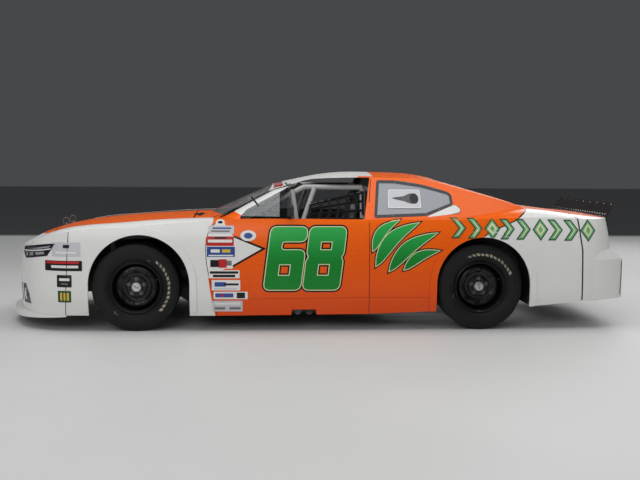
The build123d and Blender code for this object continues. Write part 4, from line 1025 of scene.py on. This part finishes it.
# headlamp lenses, lower grilles and tail trim, laid on the swept corners with a fine grid
coatedMaterial("lampLens", rgb(0.01, 0.01, 0.012), rgb(0.05, 0.05, 0.055), 0.2, 60.0,
               0.1, 0.02, Coat_Weight=0.8)
coatedMaterial("lampSilver", rgb(0.3, 0.31, 0.33), rgb(0.12, 0.12, 0.13), 0.3, 60.0,
               0.2, 0.02, Coat_Weight=0.5)
coatedMaterial("meshGrey", rgb(0.075, 0.078, 0.082), rgb(0.03, 0.03, 0.032), 0.6, 130.0,
               0.5, 0.5)
lamp = {
    "outline": [(-2.392, 0.634), (-2.32, 0.65), (-2.2, 0.672), (-2.064, 0.689), (-2.106, 0.634),
                (-2.136, 0.594), (-2.239, 0.578), (-2.363, 0.552), (-2.394, 0.592)],
    "bar": [(-2.384, 0.606), (-2.3, 0.617), (-2.199, 0.632), (-2.096, 0.648)],
    "upper": [(-2.35, 0.626), (-2.2, 0.655), (-2.1, 0.672), (-2.112, 0.658), (-2.2, 0.642)],
    "facets": [[(-2.366, 0.596), (-2.33, 0.602), (-2.338, 0.57), (-2.362, 0.566)],
               [(-2.316, 0.602), (-2.262, 0.61), (-2.27, 0.584), (-2.318, 0.574)],
               [(-2.246, 0.612), (-2.16, 0.624), (-2.156, 0.604), (-2.24, 0.59)]],
}
lowerGrille = {"outline": [(0.492, 0.334), (0.578, 0.342), (0.64, 0.268), (0.69, 0.19), (0.492, 0.18)],
               "mouth": oval(0.56, 0.255, 0.049, 0.049, 32)}
tailTrim = [(2.512, 0.262), (2.52, 0.4), (2.522, 0.535)]
cowlVent = [(-1.022, 0.326), (-0.95, 0.232), (-0.922, 0.331), (-0.958, 0.488)]
for side in sides:
    layers = [(side, [offsetOutline(lamp["outline"][::-1], 0.004)], 0, 0.0012),
              (side, [lamp["outline"]], 1, 0.0018), (side, [lamp["upper"]], 2, 0.0024),
              (side, [ribbonOutline(lamp["bar"], 0.009)], 3, 0.0028),
              ("Front", [[(sides[side] * a, b) for a, b in lowerGrille["outline"]],
                         [(sides[side] * a, b) for a, b in lowerGrille["mouth"]]], 4, 0.0016)]
    layers += [(side, [facet], 2, 0.0024) for facet in lamp["facets"]]
    layers += [(side, [ribbonOutline(tailTrim, 0.008)], 0, 0.0022),
               ("Top", [[(x, sides[side] * y) for x, y in cowlVent]], 0, 0.0022)]
    decalPiece("lamps" + side, layers, ["inkVinyl", "lampLens", "lampSilver", "whiteVinyl", "meshGrey"],
               "chassis", 0.008)
print("lamps laid")

# side window rim, and the duct plate on the pane with its throat and mouth
pane = [(0.495, 1.187), (0.642, 1.186), (0.86, 1.154), (1.074, 1.096), (1.098, 1.074), (1.102, 0.996),
        (0.876, 0.915), (0.45, 0.899)]
plate = rounded([(0.582, 1.113), (0.838, 1.112), (0.836, 0.972), (0.57, 0.972)], 0.012)
throat = [(0.6, 1.048), (0.64, 1.056), (0.7, 1.062), (0.75, 1.084), (0.8, 1.086), (0.822, 1.06),
          (0.822, 1.028), (0.8, 1.004), (0.752, 1.004), (0.7, 1.024), (0.64, 1.036)]
for side in sides:
    layers = [(side, [offsetOutline(rounded(pane, 0.012)[::-1], 0.004), offsetOutline(pane[::-1], -0.019)],
               0, 0.0014),
              (side, [plate], 2, 0.004), (side, [ribbonOutline(plate + plate[:1], 0.006)], 1, 0.0046),
              (side, [rounded(throat, 0.01, 3)], 3, 0.0048),
              (side, [oval(0.786, 1.045, 0.036, 0.04, 28)], 4, 0.0054)]
    decalPiece("paneTrim" + side, layers, ["rimVinyl", "whiteVinyl", "paleVinyl", "meshGrey", "inkVinyl"],
               "chassis", 0.03)
print("pane trim laid")

# windshield edge, banner and the two straps over each pillar
glassEdge = {"foot": -0.86, "head": -0.205, "bow": 0.1, "headBow": 0.045, "footHalf": 0.757,
             "headHalf": 0.514, "width": 0.062}


def acrossGlass(x, half, bow, count=14):
    return [(x - bow * (1 - (2 * k / count - 1) ** 2), half * (2 * k / count - 1)) for k in range(count + 1)]


top = acrossGlass(glassEdge["head"], glassEdge["headHalf"], -glassEdge["headBow"])
banner = [(x - 0.025, y * 0.97) for x, y in top] + [(x - 0.19, y * 1.12) for x, y in top[::-1]]
layers = []
for s in (-1, 1):
    edge = [(glassEdge["foot"], s * glassEdge["footHalf"]), (glassEdge["head"], s * glassEdge["headHalf"])]
    layers.append(("Top", [ribbonOutline(edge, glassEdge["width"])], 0, 0.0016))
layers.append(("Top", [banner], 1, 0.0016))
# blocks on the banner: start and width in shares of its half, and colour
blocks = ((-0.98, 0.34, 2), (-0.6, 0.16, 3), (-0.36, 0.34, 2), (0.1, 0.34, 3), (0.56, 0.38, 2))
for start, wide, colour in blocks:
    x = glassEdge["head"] - 0.1
    low, high = start * 0.5, (start + wide) * 0.5
    block = [(x - 0.045, low), (x + 0.03, low), (x + 0.045, high), (x - 0.03, high)]
    layers.append(("Top", [rounded(block, 0.012)], colour, 0.0022))
decalPiece("windshieldTrim", layers, ["inkVinyl", "whiteVinyl", "redVinyl", "greyVinyl"], "chassis",
           0.03)
strapLines = [[(-0.535, 1.046), (-0.498, 1.014), (-0.474, 0.984)],
              [(-0.275, 1.186), (-0.243, 1.158), (-0.222, 1.124)]]
for side in sides:
    layers = [(side, [ribbonOutline(line, 0.012)], 0, 0.0028) for line in strapLines]
    decalPiece("pillarStraps" + side, layers, ["inkVinyl"], "chassis", 0.02)
print("windshield trim laid")

# safety net: straps fanned between the door top and the roof bar
netShape = {"plane": -0.63, "lean": 0.23, "low": 0.872, "columns": 7, "rows": 3, "strap": 0.021,
            "thick": 0.0036, "hem": 1.35,
            "corners": [(-0.045, 0.995), (0.384, 1.095), (0.384, 0.868), (-0.062, 0.868)]}


def onNet(u, v, spec, lift=0.0):
    (ax, az), (bx, bz), (cx, cz), (dx, dz) = spec["corners"]
    x = (ax + (bx - ax) * u) * v + (dx + (cx - dx) * u) * (1 - v)
    z = (az + (bz - az) * u) * v + (dz + (cz - dz) * u) * (1 - v)
    return Vector((x, spec["plane"] + (z - spec["low"]) * spec["lean"] - lift, z))


strapSection = ((-1, -0.4), (-0.9, -1), (0.9, -1), (1, -0.4), (1, 0.4), (0.9, 1), (-0.9, 1), (-1, 0.4))


def addStrap(bm, path, width, thick, normal, material=0):
    points = [Vector(point) for point in path]
    rings = []
    for point, ahead in zip(points, headings(points)):
        across = ahead.cross(normal).normalized() * width / 2
        up = normal * thick / 2
        rings.append([bm.verts.new(point + a * across + b * up) for a, b in strapSection])
    bridge(bm, rings, material, True)


bm = bmesh.new()
outwardNet = Vector((0, -1, -netShape["lean"])).normalized()
for k in range(netShape["columns"]):
    u = k / (netShape["columns"] - 1)
    line = [onNet(u + (0.05 * sin(pi * v / 4) if 0 < k < netShape["columns"] - 1 else 0), v / 4, netShape,
                  0.0022 * (v % 2)) for v in range(5)]
    addStrap(bm, line, netShape["strap"], netShape["thick"], outwardNet)
for k in range(netShape["rows"] + 1):
    v = k / netShape["rows"]
    line = [onNet(u / 14, v - 0.03 * sin(pi * u / 14) * (k == netShape["rows"]), netShape,
                  0.0022 * ((u + k) % 2)) for u in range(15)]
    width = netShape["strap"] * (netShape["hem"] if k in (0, netShape["rows"]) else 1)
    addStrap(bm, line, width, netShape["thick"], outwardNet)
for v in (1.02, -0.02):
    addTube(bm, [onNet(-0.03, v, netShape), onNet(1.02, v, netShape)], 0.006, 10, 1)
piece = makePiece("netStraps", bm, ["webbing", "steel"], "chassis")
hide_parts("window_net")
print("net made")

# brace bars inside each window, sheet beside the engine, and small fittings
braces = [((-0.198, 0.585, 1.11), (-0.154, 0.64, 0.79)), ((-0.01, 0.52, 1.128), (-0.134, 0.645, 0.79))]
bm = bmesh.new()
for s in (-1, 1):
    for (x0, y0, z0), (x1, y1, z1) in braces:
        addTube(bm, [(x0, s * y0, z0), (x1, s * y1, z1)], 0.02, 20)
makePiece("windowBraces", bm, ["cagePaint"], "chassis")
bm = bmesh.new()
sheet = [(-1.96, 0.42), (-1.5, 0.42), (-0.97, 0.42), (-0.97, 0.79), (-1.1, 0.8), (-1.35, 0.822),
         (-1.7, 0.806), (-1.96, 0.77)]
for s in (-1, 1):
    rings = [[bm.verts.new((x, y, z)) for x, z in sheet] for y in sorted((s * 0.338, s * 0.341))]
    for ring in rings:
        bm.faces.new(ring)
    bridge(bm, rings)
makePiece("engineSheets", bm, ["blackTrim"], "chassis", False)
print("braces and sheets made")

# spoiler rivets, end struts, hood pins with wires, and pane screws
surfaces["Spoiler"] = nodeTree(["spoiler"])


def spotOn(view, a, b):
    start, ahead = aim("Front" if view == "Spoiler" else view, a, b)
    spot, normal, _, _ = surfaces[view].ray_cast(start, ahead)
    if spot is None:
        return None, None
    return spot, normal if normal.dot(ahead) < 0 else -normal


def addRivets(bm, view, spots, radius, material=0, steps=12):
    for a, b in spots:
        spot, normal = spotOn(view, a, b)
        if spot is not None:
            for height, wide, depth, taper in ((0.12, 1.0, 0.3, 0.86), (0.36, 0.86, 0.22, 0.55)):
                addDisc(bm, spot + normal * radius * height, radius * wide, normal, radius * depth, steps,
                        material, taper)


bm = bmesh.new()
addRivets(bm, "Spoiler", [(-0.7 + 1.4 * k / 23, 0.922) for k in range(24)], 0.0065)
addRivets(bm, "Spoiler", [(-0.69 + 1.38 * k / 8, 1.003) for k in range(9)], 0.005)
for s in (-1, 1):
    addTube(bm, [(2.459, s * 0.726, 1.008), (2.412, s * 0.722, 0.905), (2.406, s * 0.722, 0.862)],
            0.008, 12, 1)
    addTube(bm, [(2.44, s * 0.3, 0.978), (2.398, s * 0.3, 0.884)], 0.006, 12, 1)
makePiece("spoilerFittings", bm, ["whiteVinyl", "blackTrim"], "rear_deck")

bm = bmesh.new()
for s in (-1, 1):
    spot, normal = spotOn("Top", -2.11, s * 0.155)
    addDisc(bm, spot + normal * 0.0015, 0.021, normal, 0.003, 24)
    addDisc(bm, spot + normal * 0.012, 0.0055, normal, 0.022, 14)
    loop = [spot + Vector((0.026 * cos(t * pi / 8) - 0.006, 0.0, 0.032 + 0.032 * sin(t * pi / 8)))
            for t in range(-3, 12)]
    addTube(bm, loop, 0.0016, 8)
makePiece("hoodPins", bm, ["steel"], "hood_lid")

bm = bmesh.new()
for side in sides:
    screws = []
    for (x0, z0), (x1, z1) in zip(pane, pane[1:] + pane[:1]):
        count = max(1, int(hypot(x1 - x0, z1 - z0) / 0.11))
        screws += [(x0 + (x1 - x0) * k / count, z0 + (z1 - z0) * k / count) for k in range(count)]
    middle = (sum(x for x, _ in pane) / len(pane), sum(z for _, z in pane) / len(pane))
    screws = [(x + (middle[0] - x) * 0.03, z + (middle[1] - z) * 0.05) for x, z in screws]
    addRivets(bm, side, screws, 0.0042)
    addRivets(bm, side, [(0.592 + 0.059 * k, z) for k in range(5) for z in (0.982, 1.103)], 0.004)
    addRivets(bm, side, [(-1.972 + 0.003 * k, 0.2 + 0.085 * k) for k in range(7)], 0.0035)
    addRivets(bm, side, [(2.1, 0.3 + 0.09 * k) for k in range(6)], 0.0035)
makePiece("panelScrews", bm, ["steel"], "chassis")
print("fittings made")

# seat pads, swollen by simulation, then channelled; belts lie on them
clothMaterial("padCloth", rgb(0.01, 0.01, 0.012), rgb(0.035, 0.035, 0.04), 85.0)
clothMaterial("beltBlue", rgb(0.012, 0.02, 0.075), rgb(0.03, 0.045, 0.14), 110.0)
pads = {
    "seatPad": {"middle": (0.012, -0.375, 0.3755), "size": (0.3, 0.29, 0.034), "tilt": 4.9, "cap": 0.01,
                "channels": (-0.07, 0.0, 0.07)},
    "backPad": {"middle": (0.21, -0.375, 0.62), "size": (0.4, 0.29, 0.034), "tilt": -80.4, "cap": 0.01,
                "channels": (-0.12, -0.04, 0.04, 0.12)},
    "headPad": {"middle": (0.306, -0.375, 1.053), "size": (0.07, 0.2, 0.036), "tilt": -88.0, "cap": 0.006,
                "channels": ()},
}


def applied(piece):
    graph = bpy.context.evaluated_depsgraph_get()
    mesh = bpy.data.meshes.new_from_object(piece.evaluated_get(graph), depsgraph=graph)
    piece.modifiers.clear()
    old = piece.data
    piece.data = mesh
    bpy.data.meshes.remove(old)


def swell(piece, cap):
    cloth = piece.modifiers.new("swell", "CLOTH")
    cloth.settings.use_pressure = True
    cloth.settings.uniform_pressure_force = 4.0
    cloth.settings.effector_weights.gravity = 0.0
    cloth.point_cache.frame_start, cloth.point_cache.frame_end = 1, 20
    start = [vert.co.copy() for vert in piece.data.vertices]
    for number in range(1, 21):
        scene.frame_set(number)
    graph = bpy.context.evaluated_depsgraph_get()
    grown = [vert.co.copy() for vert in piece.evaluated_get(graph).data.vertices]
    piece.modifiers.clear()
    for vert, before, after in zip(piece.data.vertices, start, grown):
        step = after - before
        vert.co = before + step * min(1.0, cap / max(step.length, 1e-9))
    scene.frame_set(1)


def makePad(name, spec):
    long, wide, thick = spec["size"]
    bm = bmesh.new()
    addBox(bm, Vector((-long / 2, -wide / 2, -thick / 2)), Vector((long / 2, wide / 2, thick / 2)))
    bmesh.ops.bevel(bm, geom=bm.edges[:], offset=0.012, segments=3, profile=0.6, affect="EDGES")
    piece = makePiece(name, bm, ["padCloth"], "chassis")
    remesh = piece.modifiers.new("remesh", "REMESH")
    remesh.mode, remesh.voxel_size = "VOXEL", 0.006
    applied(piece)
    swell(piece, spec["cap"])
    for vert in piece.data.vertices:
        groove = sum(2.718 ** -(((vert.co.x - along) / 0.006) ** 2) for along in spec["channels"])
        edge = max(0.0, 1 - (2 * vert.co.y / wide) ** 2) * max(0.0, 1 - (2 * vert.co.x / long) ** 4)
        if vert.co.z > 0:
            vert.co.z += 0.006 * edge - 0.0045 * groove
        else:
            vert.co.z = max(vert.co.z, -thick / 2)
    piece.modifiers.new("smoothing", "SUBSURF").levels = 1
    applied(piece)
    turn = Matrix.Rotation(radians(spec["tilt"]), 4, "Y")
    piece.data.transform(Matrix.Translation(spec["middle"]) @ turn)
    for polygon in piece.data.polygons:
        polygon.use_smooth = True


for name, spec in pads.items():
    makePad(name, spec)

bm = bmesh.new()
for y in (-0.435, -0.315):
    inner = y + (0.02 if y < -0.375 else -0.02)
    path = [(0.286, y, 1.004), (0.262, y, 0.96), (0.228, y, 0.82), (0.196, y, 0.7), (0.168, inner, 0.56),
            (0.14, inner, 0.46), (0.085, inner, 0.425), (0.045, inner, 0.412)]
    addStrap(bm, path, 0.048, 0.003, Vector((-0.97, 0, 0.24)))
path = [(0.12, -0.54, 0.42), (0.085, -0.49, 0.424), (0.04, -0.43, 0.424), (0.03, -0.375, 0.426),
        (0.04, -0.32, 0.424), (0.085, -0.26, 0.424), (0.12, -0.21, 0.42)]
addStrap(bm, path, 0.048, 0.003, Vector((-0.3, 0, 0.95)))
addDisc(bm, Vector((0.034, -0.375, 0.432)), 0.03, Vector((-0.25, 0, 1)), 0.014, 24, 1, 0.9)
makePiece("seatBelts", bm, ["beltBlue", "steel"], "chassis")
print("seat pads and belts made")

# tail lamps and exit panel behind, plain lens shapes
tailLamps = []
tailLamp = [(0.34, 0.8), (0.7, 0.806), (0.735, 0.77), (0.715, 0.712), (0.36, 0.706)]
for s in (-1, 1):
    outline = rounded([(s * a, b) for a, b in tailLamp], 0.022)
    tailLamps.append(("Back", [outline], 0, 0.0014))
    y, z = s * 0.53, 0.756
    for share, colour, lift in ((0.84, 1, 0.002), (0.5, 2, 0.0026)):
        tailLamps.append(("Back", [[(y + (a - y) * share, z + (b - z) * share) for a, b in outline]],
                          colour, lift))
exitPanel = [(-0.46, 0.3), (0.46, 0.3), (0.42, 0.4), (-0.42, 0.4)]
tailLamps.append(("Back", [rounded(exitPanel, 0.02)], 0, 0.0014))
for k in range(9):
    middle = -0.4 + 0.1 * k
    tailLamps.append(("Back", [rectangle(middle - 0.036, middle + 0.036, 0.318, 0.382, 0.01)], 3, 0.002))
decalPiece("tailLamps", tailLamps, ["inkVinyl", "redVinyl", "lampSilver", "meshGrey"], "chassis",
           0.03)
print("tail lamps laid")
